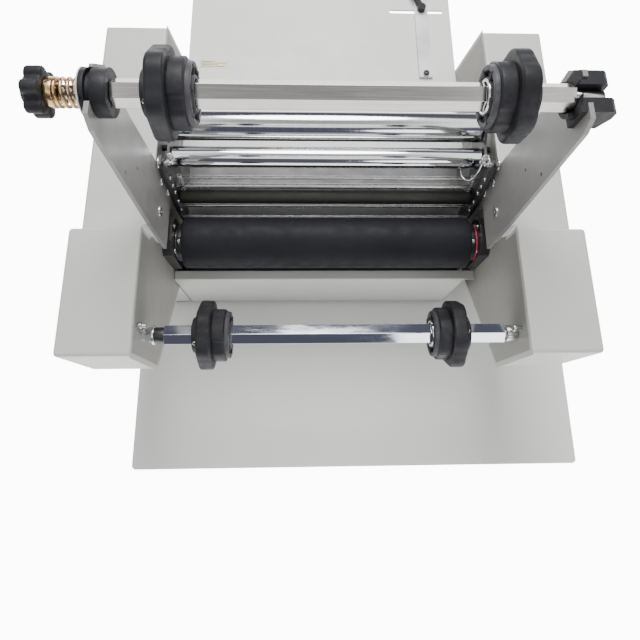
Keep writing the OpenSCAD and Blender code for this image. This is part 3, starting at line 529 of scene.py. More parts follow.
def yellow_zinc(name, colour):
    """Yellow zinc plate: gold drifting to pink and green-grey, with a fine wire draw."""
    f = Finish(name, metal=1.0)
    drift = f.ramp(f.noise(160, 4, 0.6), 0.35, 0.68)
    tone = f.mix(drift, colour, (0.66, 0.42, 0.34))
    spots = f.ramp(f.noise(420, 3), 0.55, 0.75)
    f.set("Base Color", f.mix(f.math("MULTIPLY", spots, 0.6), tone, (0.50, 0.56, 0.38)))
    f.set("Roughness", f.ramp(f.noise(500, 3), 0.3, 0.7, 0.14, 0.3))
    f.set("Normal", f.bump(f.noise(1500, 2), 0.00001))
    return f.done()


def gloss_plastic(name, colour):
    """Glossy moulded plastic with light scratches."""
    f = Finish(name, coat=0.5, coat_rough=0.08)
    scratches = f.ramp(f.noise(300, 4, 0.7, (0.1, 1, 1)), 0.6, 0.75)
    f.set("Base Color", f.mix(f.ramp(f.noise(60, 3), 0.3, 0.7), shade(colour, 0.9), colour))
    f.set("Roughness", f.math("ADD", f.math("MULTIPLY", scratches, 0.15), 0.22))
    f.set("Normal", f.bump(f.noise(900, 2), 0.00001))
    return f.done()


FINISHES = {}


def finish(slot):
    """The material of a slot, made when it is first asked for."""
    if slot in FINISHES:
        return FINISHES[slot]
    paint = bpy.context.scene.laminator_paint
    along = (0.02, 1, 1)
    makers = {
        "cover_paint": (powder_coat, "cover powder coat", paint.cover),
        # painted shade: paint.side is the covers' paint darkened for the shaded inner faces of the
        # side frames
        "frame_paint": (powder_coat, "side frame powder coat", paint.side, 0.46),
        "arm_paint": (powder_coat, "arm powder coat", paint.arm, 0.36, 0.00005, 0.2),
        "board_white": (laminate, "board laminate", paint.board),
        "white_plastic": (moulded, "white nylon", RECORD_COLOUR["white_plastic"], 0.42, 0.1),
        "dark_plastic": (moulded, "charcoal nylon", paint.plastic),
        "black_metal": (powder_coat, "black oxide", (0.016, 0.016, 0.018), 0.34, 0.00003,
                        0.4),
        "olive_metal": (powder_coat, "olive roller coat", (0.034, 0.034, 0.027), 0.5, 0.00003,
                        0.3),
        "steel": (brushed, "brushed steel", RECORD_COLOUR["steel"], along, 0.24),
        "bar_steel": (brushed, "drawn bar", (0.50, 0.49, 0.47), along, 0.16, 3e-6, 0.25),
        "bar_bright": (polished, "bright drawn bar", RECORD_COLOUR["bar_bright"], 0.06, 0.16),
        "chrome_mat": (polished, "hard chrome", RECORD_COLOUR["chrome_mat"]),
        "alu": (turned_metal, "turned aluminium", RECORD_COLOUR["alu"]),
        "zinc_yellow": (yellow_zinc, "yellow zinc", paint.zinc),
        "nip_rubber": (ground_rubber, "ground nip rubber", paint.rubber),
        "foot_rubber": (moulded, "foot rubber", RECORD_COLOUR["foot_rubber"], 0.7, 0.5),
        "belt_rubber": (moulded, "belt rubber", RECORD_COLOUR["belt_rubber"], 0.6, 0.2),
        "ring_red": (moulded, "seal ring red", RECORD_COLOUR["ring_red"], 0.35, 0.05),
        "button_red": (gloss_plastic, "red button", RECORD_COLOUR["button_red"]),
        "button_green": (gloss_plastic, "green button", RECORD_COLOUR["button_green"]),
        "table_white": (powder_coat, "table powder coat", (0.84, 0.84, 0.81), 0.4, 0.00004,
                        0.08),
        "label_mat": (moulded, "label film", RECORD_COLOUR["label_mat"], 0.4, 0.05),
        "motor_paint": (powder_coat, "motor paint", RECORD_COLOUR["motor_paint"], 0.35),
        "gear_steel": (brushed, "gear steel", RECORD_COLOUR["gear_steel"], (1, 0.1, 1), 0.32),
        "core_face": (moulded, "worn core face", (0.055, 0.055, 0.06), 0.5, 0.75),
    }
    maker, name, colour, *rest = makers[slot]
    FINISHES[slot] = maker(name, tuple(colour), *rest)
    return FINISHES[slot]


# ---------------------------------------------------------------- operators


class LAMINATOR_OT_finishes(bpy.types.Operator):
    """Give every CAD node its finish and soften its machined edges"""

    bl_idname = "laminator.finishes"
    bl_label = "Finish the frame"

    fine = {"arm_spacers", "left_arm", "right_arm", "tension_hub", "supply_bar", "takeup_bar",
            "upper_blocks", "lower_blocks", "idler_brackets", "side_guide", "guide_lever",
            "control_plate", "power_inlet", "pressure_lever", "base_board", "left_side_frame",
            "right_side_frame", "takeup_coupling", "stop_button", "start_button", "speed_knob",
            "spring_washers", "tension_nut", "takeup_seat", "fork_block"}

    def execute(self, context):
        detail = context.scene.laminator_detail
        for node, obj in frame["nodes"].items():
            obj.data.materials.clear()
            obj.data.materials.append(finish(NODE_SLOT[node]))
            if node in self.fine:
                weld_faces(obj)
                round_edges(obj, detail.small_edge, detail.edge_steps)
        return {"FINISHED"}


def weld_faces(obj):
    """Joins a node's loose triangles and makes its flat faces whole."""
    weld = obj.modifiers.new("weld", "WELD")
    weld.merge_threshold = MERGE
    flat = obj.modifiers.new("flat faces", "DECIMATE")
    flat.decimate_type = "DISSOLVE"
    flat.angle_limit = FLAT


def round_edges(obj, width, steps, by_weight=False):
    """Rounds sharp edges, or the weighted ones."""
    edge = obj.modifiers.new("rounded edges", "BEVEL")
    edge.width = width
    edge.segments = steps
    edge.limit_method = "WEIGHT" if by_weight else "ANGLE"
    edge.angle_limit = math.radians(28)
    edge.harden_normals = True
    edge.use_clamp_overlap = not by_weight


class LAMINATOR_OT_sheet_metal(bpy.types.Operator):
    """Round the folds of the housings, output panel and table with a bending radius"""

    bl_idname = "laminator.sheet_metal"
    bl_label = "Sheet metal"

    sheets = ("left_front_cover", "right_front_cover", "left_rear_cover", "right_rear_cover",
              "left_lower_cover", "output_panel", "feed_table")

    def execute(self, context):
        detail = context.scene.laminator_detail
        for node in self.sheets:
            source = frame["nodes"][node]
            bm = bmesh.new()
            bm.from_mesh(source.data)
            bmesh.ops.remove_doubles(bm, verts=bm.verts, dist=MERGE)
            bmesh.ops.dissolve_limit(bm, angle_limit=FLAT, verts=bm.verts,
                                     edges=bm.edges)
            if node == "output_panel":
                foot = min(v.co.z for v in bm.verts) + 1 * MM
                end = max(v.co.x for v in bm.verts if v.co.z < foot)
                bmesh.ops.bisect_plane(bm, geom=bm.verts[:] + bm.edges[:] + bm.faces[:],
                                       dist=1e-6, plane_co=(end, 0, 0), plane_no=(1, 0, 0))
            radius = detail.cover_edge if "cover" in node else detail.cover_edge * 0.45
            weigh_folds(bm, 3.2 * MM)
            mesh = bpy.data.meshes.new(node + "_folded")
            bm.to_mesh(mesh)
            bm.free()
            obj = bpy.data.objects.new(node + "_folded", mesh)
            context.scene.collection.objects.link(obj)
            round_edges(obj, radius, detail.edge_steps + 1, True)
            mesh.materials.clear()
            mesh.materials.append(finish(NODE_SLOT[node]))
            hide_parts(node)
            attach(obj, "machine")
        return {"FINISHED"}


def weigh_folds(bm, sheet):
    """Bevel weight 1 on the outer folds: convex edges between two faces wider than the sheet."""
    weight = bm.edges.layers.float.get("bevel_weight_edge")
    weight = weight or bm.edges.layers.float.new("bevel_weight_edge")

    def width(face):
        return face.calc_area() / max(e.calc_length() for e in face.edges)

    for edge in bm.edges:
        if len(edge.link_faces) != 2 or not edge.is_convex:
            continue
        if edge.calc_face_angle() > math.radians(15) and all(
                width(f) > sheet for f in edge.link_faces):
            edge[weight] = 1.0


class LAMINATOR_OT_chucks(bpy.types.Operator):
    """Mould the four core chucks with their collars, set screws and ribbed noses"""

    bl_idname = "laminator.chucks"
    bl_label = "Core chucks"

    def execute(self, context):
        steps = context.scene.laminator_detail.round_steps * 2
        for shaft in ("supply", "takeup"):
            for side, way in (("left", 1), ("right", -1)):
                node = f"{shaft}_{side}_chuck"
                low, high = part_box(node)
                start = low.x if way > 0 else high.x
                c = middle(node)
                tilt, bar_tilt = map(math.radians, (22, -9) if shaft == "supply" else (8, 8))
                build_chuck(node, (start, c.y, c.z), way, high.x - low.x, tilt, bar_tilt,
                            steps)
        return {"FINISHED"}


def lobed(outer, lobes, lobe, base, turn, soft=0.5 * MM):
    """Radius of a lobed disc: the larger of a base circle and round lobes that reach the outer
    radius, blended over a soft width. The result keeps each row's inset from the outer radius."""
    centre = outer - lobe

    def radius(row_radius, angle):
        near = (angle - turn + math.pi / lobes) % (TAU / lobes) - math.pi / lobes
        inside = np.maximum(lobe ** 2 - (centre * np.sin(near)) ** 2, 0)
        reach = centre * np.cos(near) + np.sqrt(inside)
        both = soft * np.logaddexp(reach / soft, base / soft)
        return row_radius - outer + np.minimum(both, outer)

    return radius


def build_chuck(node, start, way, length, tilt, bar_tilt, steps):
    """Collar, scalloped rim, core step and nose of one chuck, each turned about the bar."""
    start = np.array(start)
    axis = np.array([way, 0, 0])
    body = node + "_body"
    collar, rim, step = 7 * MM, 15 * MM, 13 * MM
    nose = length - collar - rim - step
    outer, core = 36.5 * MM, 28 * MM
    bore = HEX_BORE / math.cos(math.pi / 6)

    def at(distance):
        return start + axis * distance

    collar_rows = rounded_profile([[0, bore], [0, 18.7 * MM], [collar, 18.7 * MM],
                                   [collar + MM, bore]], 1.2 * MM)
    rim_rows = rounded_profile([[collar, bore], [collar, outer], [collar + rim, outer],
                                [collar + rim, bore]], 3 * MM, 6)
    step_rows = rounded_profile([[collar + rim - MM, bore], [collar + rim - MM, core],
                                 [collar + rim + step, core], [collar + rim + step, bore]],
                                2.2 * MM, 5)
    face = collar + rim + step
    nose_rows = rounded_profile([
        [face - MM, bore], [face - MM, core - 3 * MM], [face + nose * 0.8, core - 3.6 * MM],
        [face + nose * 0.8, core - 8 * MM], [face + MM, core - 8.5 * MM], [face + MM, 15.5 * MM],
        [face + nose * 0.8, 15 * MM], [face + nose * 0.8, bore]], 0.8 * MM, 3)
    lobes = lobed(outer, 6, 17.15 * MM, outer - 2.5 * MM, tilt)

    def hex_bore(shape):
        def radius(row_radius, angle):
            near = np.abs((angle - bar_tilt) % (math.pi / 3) - math.pi / 6)
            flat = HEX_BORE / np.cos(near)
            out = shape(row_radius, angle) if shape else row_radius
            return np.where(row_radius <= bore * 1.001, flat, out)
        return radius

    def core_notches(row_radius, angle):
        near = np.abs((angle - tilt + TAU / 6) % (TAU / 3) - TAU / 6)
        depth = 1.6 * MM / (1 + np.exp((near - 0.22) / 0.03))
        return np.where(row_radius > core * 0.9, row_radius - depth, row_radius)

    for part, rows, shape in (("collar", collar_rows, None), ("rim", rim_rows, lobes),
                              ("step", step_rows, core_notches)):
        add_piece(f"{node}_{part}",
                  [turned(close_rows(rows), start, axis, steps, hex_bore(shape))],
                  body, "dark_plastic", (node,) if part == "rim" else ())
    add_piece(f"{node}_nose", [turned(close_rows(nose_rows), start, axis, steps, hex_bore(None))],
              body, "dark_plastic", look="core_face")
    clip = rounded_profile([[face + nose * 0.7, 11.8 * MM], [face + nose * 0.7, 14.2 * MM],
                            [face + nose * 0.98, 14 * MM], [face + nose * 0.98, 11.8 * MM]],
                           0.4 * MM, 2)
    add_piece(f"{node}_clip", [turned(close_rows(clip), start, axis, steps // 2)],
              body, "dark_plastic", look="chrome_mat" if "right" in node else "core_face")
    ribs = []
    for i in range(6):
        a = tilt + math.pi / 6 + i * TAU / 6
        ribs.append(rib(at(face + MM), axis, a, 15 * MM, core - 5 * MM, 2.4 * MM, nose - 1.4 * MM))
    add_piece(f"{node}_ribs", ribs, body, "dark_plastic")
    u, v, _ = frame_of(axis)
    screws = []
    for a in (tilt + math.radians(-60 if way > 0 else 80), tilt + math.radians(120)):
        out = math.cos(a) * u + math.sin(a) * v
        screws.append(socket_screw(at(collar / 2) + out * 17.6 * MM, out, 4.6 * MM, 1.6 * MM, 24))
    add_piece(f"{node}_set_screws", screws, body, "steel")


def close_rows(rows):
    """A profile whose last row meets its first, so that the turned skin is closed."""
    return np.concatenate([rows, rows[:1]])


def rib(centre, axis, angle, inner, outer, width, height):
    """A small radial rib with chamfered top: a box profile carried along its radius."""
    u, v, w = frame_of(axis)
    out = math.cos(angle) * u + math.sin(angle) * v
    side = np.cross(w, out)
    half = width / 2
    section = np.array([[-half, 0], [-half, height * 0.8], [-half * 0.6, height],
                        [half * 0.6, height], [half, height * 0.8], [half, 0]])
    along = np.array([inner, inner, outer, outer])
    scale = np.array([0, 1, 1, 0])
    p = (centre + along[:, None, None] * out
         + section[:, 0][None, :, None] * scale[:, None, None] * side
         + (section[:, 1])[None, :, None] * scale[:, None, None] * w)
    return p, grid_faces(len(along), len(section))


class LAMINATOR_OT_tension(bpy.types.Operator):
    """Build the tension knob, its coil spring and the trim round the hub"""

    bl_idname = "laminator.tension"
    bl_label = "Film tension"

    def execute(self, context):
        detail = context.scene.laminator_detail
        steps = detail.round_steps
        low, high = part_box("tension_knob")
        c = middle("tension_knob")
        thick = 14 * MM
        outer = 20 * MM
        start = (high.x, c.y, c.z)
        rows = rounded_profile([
            [0, 6.1 * MM], [0, outer], [thick, outer], [thick, 11.5 * MM],
            [thick + 3.6 * MM, 10.5 * MM], [thick + 3.9 * MM, 0]], 2.6 * MM, 6)
        rows = np.concatenate([rows, [[16 * MM, 0], [16 * MM, 6.1 * MM], [0, 6.1 * MM]]])
        wave = lobed(outer, 6, 5.6 * MM, outer - 4.6 * MM, math.radians(12), 0.4 * MM)

        def knob_radius(row_radius, angle):
            return np.where(row_radius > 16 * MM, wave(row_radius, angle), row_radius)

        add_piece("knob_grip", [turned(rows, start, (-1, 0, 0), steps * 2, knob_radius)],
                  "tension_knob_body", "dark_plastic", ("tension_knob",))
        low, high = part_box("tension_spring")
        c = middle("tension_spring")
        wire = detail.spring_wire / 2
        coil = helix((low.x + wire, c.y, c.z), (1, 0, 0), (high.y - low.y) / 2 - wire,
                     high.x - low.x - 2 * wire, detail.spring_turns, 40)
        add_piece("coil_spring", [tube(coil, wire, 16)], "supply_shaft", "zinc_yellow",
                  ("tension_spring",))
        low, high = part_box("tension_hub")
        c = middle("tension_hub")
        lip = rounded_profile([[0, 17 * MM], [0, 19.4 * MM], [1.2 * MM, 19.4 * MM],
                               [1.2 * MM, 17 * MM]], 0.4 * MM)
        add_piece("hub_lip", [turned(close_rows(lip), (low.x - 0.25 * MM, c.y, c.z), (1, 0, 0),
                                     steps)],
                  "machine", "white_plastic")
        return {"FINISHED"}


class LAMINATOR_OT_rollers(bpy.types.Operator):
    """Turn the nip rollers and guide rollers with their sleeves, screws, end caps and pins"""

    bl_idname = "laminator.rollers"
    bl_label = "Rollers"

    def execute(self, context):
        steps = context.scene.laminator_detail.round_steps + 32
        for node, body in (("upper_rubber", "upper_roller"), ("lower_rubber", "lower_roller")):
            low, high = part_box(node)
            c = middle(node)
            r = (high.z - low.z) / 2
            length = high.x - low.x
            rows = rounded_profile([[0, 22.6 * MM], [0, r], [length, r], [length, 22.6 * MM]],
                                   1.5 * MM, 5)
            rows = np.concatenate([rows[:6], spread(rows[5], rows[-7], 60), rows[-7:]])
            add_piece(f"{node}_cover", [turned(close_rows(rows), (low.x, c.y, c.z), (1, 0, 0),
                                               steps)],
                      body, "nip_rubber", (node,))
            end = high.x
            sleeve = rounded_profile([[end + 0.1 * MM, 22.5 * MM], [end + 0.1 * MM, 23.4 * MM],
                                      [end + 7.6 * MM, 23.4 * MM], [end + 7.6 * MM, 22.5 * MM]],
                                     0.4 * MM, 2)
            add_piece(f"{node}_sleeves",
                      [turned(close_rows(sleeve), (0, c.y, c.z), (way, 0, 0), steps)
                       for way in (1, -1)],
                      body, "black_metal")
            screws = []
            for way in (1, -1):
                for a in (math.radians(15), math.radians(195)):
                    out = np.array([0, -math.sin(a), math.cos(a)])
                    seat = np.array([way * (end + 4 * MM), c.y, c.z]) + out * 23 * MM
                    screws.append(socket_screw(seat, out, 5 * MM, 1.4 * MM, 24))
            add_piece(f"{node}_grub_screws", screws, body, "steel")
        for node, body, slot in (("idler_roller", "idler", "alu"),
                                 ("chrome_roller", "chrome_idler", "chrome_mat"),
                                 ("tension_roller", "tension_idler", "black_metal")):
            low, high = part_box(node)
            c = middle(node)
            r = (high.z - low.z) / 2
            pin = 4 * MM
            face = high.x - 4.2 * MM
            rows = rounded_profile([
                [-face, r * 0.84], [-face, r], [face, r], [face, r * 0.84]], 0.8 * MM, 3)
            rows = np.concatenate([
                [[-face + 3 * MM, pin], [-face + 3 * MM, r * 0.84]], rows,
                [[face - 3 * MM, r * 0.84], [face - 3 * MM, pin]]])
            add_piece(f"{node}_tube", [turned(close_rows(rows), (0, c.y, c.z), (1, 0, 0), steps)],
                      body, slot, (node,),
                      look="olive_metal" if node == "tension_roller" else slot)
            cap = rounded_profile([
                [face - 2.6 * MM, pin], [face - 2.6 * MM, r * 0.8], [face - 1.2 * MM, r * 0.8],
                [face - 0.8 * MM, r * 0.5], [face - 0.2 * MM, r * 0.46], [face - 0.2 * MM, pin]],
                0.3 * MM, 2)
            axle = [[face - 3 * MM, 0], [face - 3 * MM, pin - 0.05 * MM],
                    [high.x - 0.4 * MM, pin - 0.05 * MM], [high.x, pin - 0.5 * MM], [high.x, 0]]
            ends = [turned(close_rows(cap), (0, c.y, c.z), (way, 0, 0), steps // 2)
                    for way in (1, -1)]
            pins = [turned(axle, (0, c.y, c.z), (way, 0, 0), 40) for way in (1, -1)]
            add_piece(f"{node}_caps", ends, body, "black_metal")
            add_piece(f"{node}_pins", pins, body, "steel")
        return {"FINISHED"}


def spread(a, b, count):
    """Points between two profile points, without the ends."""
    t = np.linspace(0, 1, count + 2)[1:-1, None]
    return np.asarray(a) * (1 - t) + np.asarray(b) * t


class LAMINATOR_OT_screws(bpy.types.Operator):
    """Set the screws of the arms, bearing blocks and housings"""

    bl_idname = "laminator.screws"
    bl_label = "Screws"

    def execute(self, context):
        arm_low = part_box("right_arm")[0]
        heads = []
        for y, z, d in ((arm_low.y + 65 * MM, 273 * MM, 9 * MM),
                        (arm_low.y + 66 * MM, 242 * MM, 8 * MM),
                        (arm_low.y + 30 * MM, 271 * MM, 12 * MM)):
            for side in (1, -1):
                heads.append(socket_screw((side * arm_low.x, y, z), (-side, 0, 0), d, 2.2 * MM))
        add_piece("arm_screw_heads", heads, "machine", "steel", ("arm_screws",))
        inner = abs(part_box("upper_blocks")[0].x + 12 * MM)
        block = []
        mid_z = 184.5 * MM
        for side in (1, -1):
            for dy, dz in ((12, 26), (-16, 14), (12, -26), (-16, -14)):
                block.append(socket_screw((side * inner, dy * MM, mid_z + dz * MM),
                                          (-side, 0, 0), 5.4 * MM, 1.3 * MM, 24))
        block.append(hex_head((inner, 17 * MM, mid_z + 14 * MM), (-1, 0, 0), 7 * MM, 0.9 * MM))
        add_piece("block_screws", block, "upper_bearings", "steel")
        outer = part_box("right_front_cover")[1].x
        side_screws = []
        for side in (1, -1):
            for y, z in ((-0.145, 0.284), (-0.036, 0.284), (-0.145, 0.200), (-0.010, 0.253),
                         (0.244, 0.253), (0.294, 0.040), (0.095, 0.040), (-0.010, 0.105)):
                side_screws.append(socket_screw((side * outer, y, z), (side, 0, 0), 8 * MM,
                                                2.2 * MM, 30))
        add_piece("housing_screws", side_screws, "machine", "steel")
        return {"FINISHED"}


class LAMINATOR_OT_links(bpy.types.Operator):
    """Add the riveted links, washers, hook wires and springs beside the guide rollers"""

    bl_idname = "laminator.links"
    bl_label = "Links and springs"

    def execute(self, context):
        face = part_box("idler_brackets")[1].x - 15.6 * MM
        top, foot = (0.052, 0.297), (0.037, 0.203)
        strips, rivets, washers, nuts, wires, coils, chains = [], [], [], [], [], [], []
        for side in (1, -1):
            x_in = side * (face - 2.4 * MM)
            outline = long_hole_outline(top, foot, 11 * MM)
            strips.append(slab(outline, *sorted((x_in, side * face)), 0.4 * MM))
            for t in (0.3, 0.45, 0.6, 0.8, 1.0):
                y, z = (top[k] * (1 - t) + foot[k] * t for k in (0, 1))
                rivets.append(turned(
                    rounded_profile([[0, 0], [0, 2.3 * MM], [1.2 * MM, 1.9 * MM], [1.6 * MM, 0]],
                                    0.5 * MM), (x_in, y, z), (-side, 0, 0), 20))
            ring = rounded_profile([[0, 2.4 * MM], [0, 6.6 * MM], [1.4 * MM, 6.4 * MM],
                                    [1.4 * MM, 2.4 * MM]], 0.4 * MM, 3)
            out = x_in + side * 6.4 * MM
            washers.append(turned(close_rows(ring), (out, *top), (-side, 0, 0), 48))
            nuts.append(hex_head((out - side * 1.3 * MM, *top), (-side, 0, 0), 7 * MM, 2.6 * MM))
            nuts.append(hex_head((x_in - side * 2.4 * MM, *top), (-side, 0, 0), 6.4 * MM, 3 * MM))
            wires.append(tube([(out, *top), (x_in - side * 9 * MM, *top)], 1.7 * MM, 12))
            x0 = side * (face - 5.2 * MM)
            coil = helix((x0, 0.0665, 0.2745), (0, 0, 1), 3 * MM, 13 * MM, 7, 18)
            coils.append(tube(coil, 0.6 * MM, 8))
            start, way = np.array([x0, 0.0655, 0.240]), np.array([0, -0.0075, -0.054])
            chain = helix(start, way, 2.6 * MM, np.linalg.norm(way), 13, 16)
            chains.append(tube(chain, 0.75 * MM, 8))
            hook = smooth_path([(x0, 0.0695, 0.288), (x0, 0.063, 0.296), (x0, 0.056, 0.2975),
                                (x0 + 2 * MM, 0.0525, 0.2965)], 24)
            wires.append(tube(hook, 0.6 * MM, 8))
            bow = smooth_path([
                (x0, 0.0655, 0.2745), (x0 - side * 2 * MM, 0.061, 0.262),
                (x0 - side * 7 * MM, 0.057, 0.252), (x0 - side * 13 * MM, 0.058, 0.247),
                (x0 - side * 17 * MM, 0.064, 0.246), (x0 - side * 18 * MM, 0.071, 0.247)], 48)
            if side > 0:
                wires.append(tube(bow, 0.9 * MM, 10))
        add_piece("link_strips", strips, "machine", "black_metal")
        add_piece("link_rivets", rivets, "machine", "steel")
        add_piece("link_washers", washers, "machine", "chrome_mat")
        add_piece("link_nuts", nuts, "machine", "steel")
        add_piece("return_coils", coils, "machine", "steel",
                  ("return_springs",))
        add_piece("tension_chains", chains, "machine", "gear_steel")
        add_piece("hook_wires", wires, "machine", "chrome_mat")
        return {"FINISHED"}


class LAMINATOR_OT_takeup(bpy.types.Operator):
    """Turn the take-up shaft's cup and latch pin"""

    bl_idname = "laminator.takeup"
    bl_label = "Take-up ends"

    def execute(self, context):
        steps = context.scene.laminator_detail.round_steps
        low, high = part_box("takeup_cup")
        c = middle("takeup_cup")
        r = (high.z - low.z) / 2
        cup = rounded_profile([
            [0, 8.4 * MM], [0.4 * MM, r], [2.6 * MM, r], [3.4 * MM, r - 1.4 * MM],
            [6.4 * MM, r - 1.8 * MM], [9.6 * MM, r - 3.4 * MM], [10 * MM, 6.4 * MM],
            [9 * MM, 6.3 * MM]], 0.5 * MM)
        shaft = [[9 * MM, 6.3 * MM], [high.x - low.x - 0.5 * MM, 6.3 * MM],
                 [high.x - low.x, 5.8 * MM], [high.x - low.x, 0], [0, 0], [0, 8.4 * MM]]
        add_piece("drive_cup", [turned(np.concatenate([cup, shaft]), (high.x, c.y, c.z),
                                       (-1, 0, 0), steps)],
                  "takeup_shaft", "chrome_mat", ("takeup_cup",))
        y, z = c.y + 6 * MM, c.z + 22 * MM
        wall = -0.1995  # just in front of the left side frame's inner face
        pin = rounded_profile([[0, 0], [0, 3.4 * MM], [4 * MM, 3.4 * MM], [4.6 * MM, 2.0 * MM],
                               [9 * MM, 2.0 * MM], [9.6 * MM, 0]], 0.5 * MM)
        add_piece("latch_pin", [turned(pin, (wall, y, z), (1, 0, 0), 32),
                                hex_head((wall, y - 3 * MM, z - 13 * MM), (1, 0, 0), 7 * MM,
                                         3 * MM)],
                  "machine", "steel")
        return {"FINISHED"}


class LAMINATOR_OT_controls(bpy.types.Operator):
    """Add bezels, the speed scale and the inlet pins on the operator faces"""

    bl_idname = "laminator.controls"
    bl_label = "Operator side"

    def execute(self, context):
        normal = np.array([0, math.cos(CONSOLE_LEAN), math.sin(CONSOLE_LEAN)])
        down = np.array([0, math.sin(CONSOLE_LEAN), -math.cos(CONSOLE_LEAN)])
        steps = context.scene.laminator_detail.round_steps
        bezels = []
        for node in ("stop_button", "start_button"):
            c = np.array(middle(node))
            seat = c - normal * (np.dot(c - self.face_point(0.235), normal) - 1.5 * MM)
            rows = rounded_profile([[0, 8.4 * MM], [0, 11 * MM], [2.4 * MM, 10.4 * MM],
                                    [2.4 * MM, 8.4 * MM]], 0.8 * MM)
            bezels.append(turned(close_rows(rows), seat, normal, steps))
        add_piece("button_bezels", bezels, "machine", "chrome_mat")
        knob = np.array(middle("speed_knob"))
        seat = knob - normal * (np.dot(knob - self.face_point(0.2), normal) - 1.5 * MM)
        ticks = []
        for i in range(11):
            a = math.radians(-135 + 27 * i)
            out = -down * math.cos(a) + np.array([1.0, 0, 0]) * math.sin(a)
            ticks.append(bar_along(seat + out * 16 * MM, seat + out * 19.5 * MM, normal,
                                   0.9 * MM, 0.25 * MM))
        add_piece("speed_ticks", ticks, "machine", "white_plastic")
        inlet = np.array(middle("power_inlet"))
        base = inlet - normal * (np.dot(inlet - self.face_point(0.064), normal) - 0.5 * MM)
        pins = []
        for dx, dy in ((-7, 2), (7, 2), (0, -2.5)):
            p = base + np.array([dx * MM, 0, 0]) + down * dy * MM
            pins.append(bar_along(p - np.array([1 * MM, 0, 0]), p + np.array([1 * MM, 0, 0]),
                                  normal, 4 * MM, 2 * MM))
        add_piece("inlet_pins", pins, "machine", "steel")
        return {"FINISHED"}

    @staticmethod
    def face_point(z):
        """A point on the operator faces at a height."""
        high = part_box("right_rear_cover")[1]
        slope = math.tan(CONSOLE_LEAN)
        rear = high.y - (high.z - FOOT_Z) * slope
        return np.array([0, rear + (high.z - z) * slope, z])


def bar_along(a, b, up, width, height):
    """A small bar between two points with bevelled top: a profile carried from a to b."""
    a, b = np.asarray(a, float), np.asarray(b, float)
    t = (b - a) / np.linalg.norm(b - a)
    side = np.cross(up, t)
    h = width / 2
    section = np.array([[-h, 0], [-h, height * 0.7], [-h * 0.7, height], [h * 0.7, height],
                        [h, height * 0.7], [h, 0]])
    ring = section[:, 0, None] * side + section[:, 1, None] * np.asarray(up)
    mid = ring.mean(0)
    p = np.stack([a + mid + ring * 0, a + ring, b + ring, b + mid + ring * 0])
    return p, grid_faces(4, len(section))


class LAMINATOR_OT_table(bpy.types.Operator):
    """Dress the feed table with its label lines and guide screw"""

    bl_idname = "laminator.table"
    bl_label = "Feed table"

    def execute(self, context):
        low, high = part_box("table_label")
        x0, x1, y0, y1, z = low.x, high.x, low.y, high.y, high.z
        up = (0, 0, 1)
        lines = []
        for t, e in ((0.2, 6), (0.4, 14), (0.6, 4), (0.8, 20)):
            y = y0 + t * (y1 - y0)
            lines.append(bar_along((x0 + 3 * MM, y, z), (x1 - e * MM, y, z), up, 0.8 * MM,
                                   0.05 * MM))
        add_piece("label_lines", lines, "machine", "foot_rubber")
        low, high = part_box("side_guide")
        head = socket_screw(((low.x + high.x) / 2, low.y + 5 * MM, high.z), up, 9 * MM, 2.4 * MM)
        add_piece("guide_screw", [head], "side_guide_body", "black_metal")
        return {"FINISHED"}


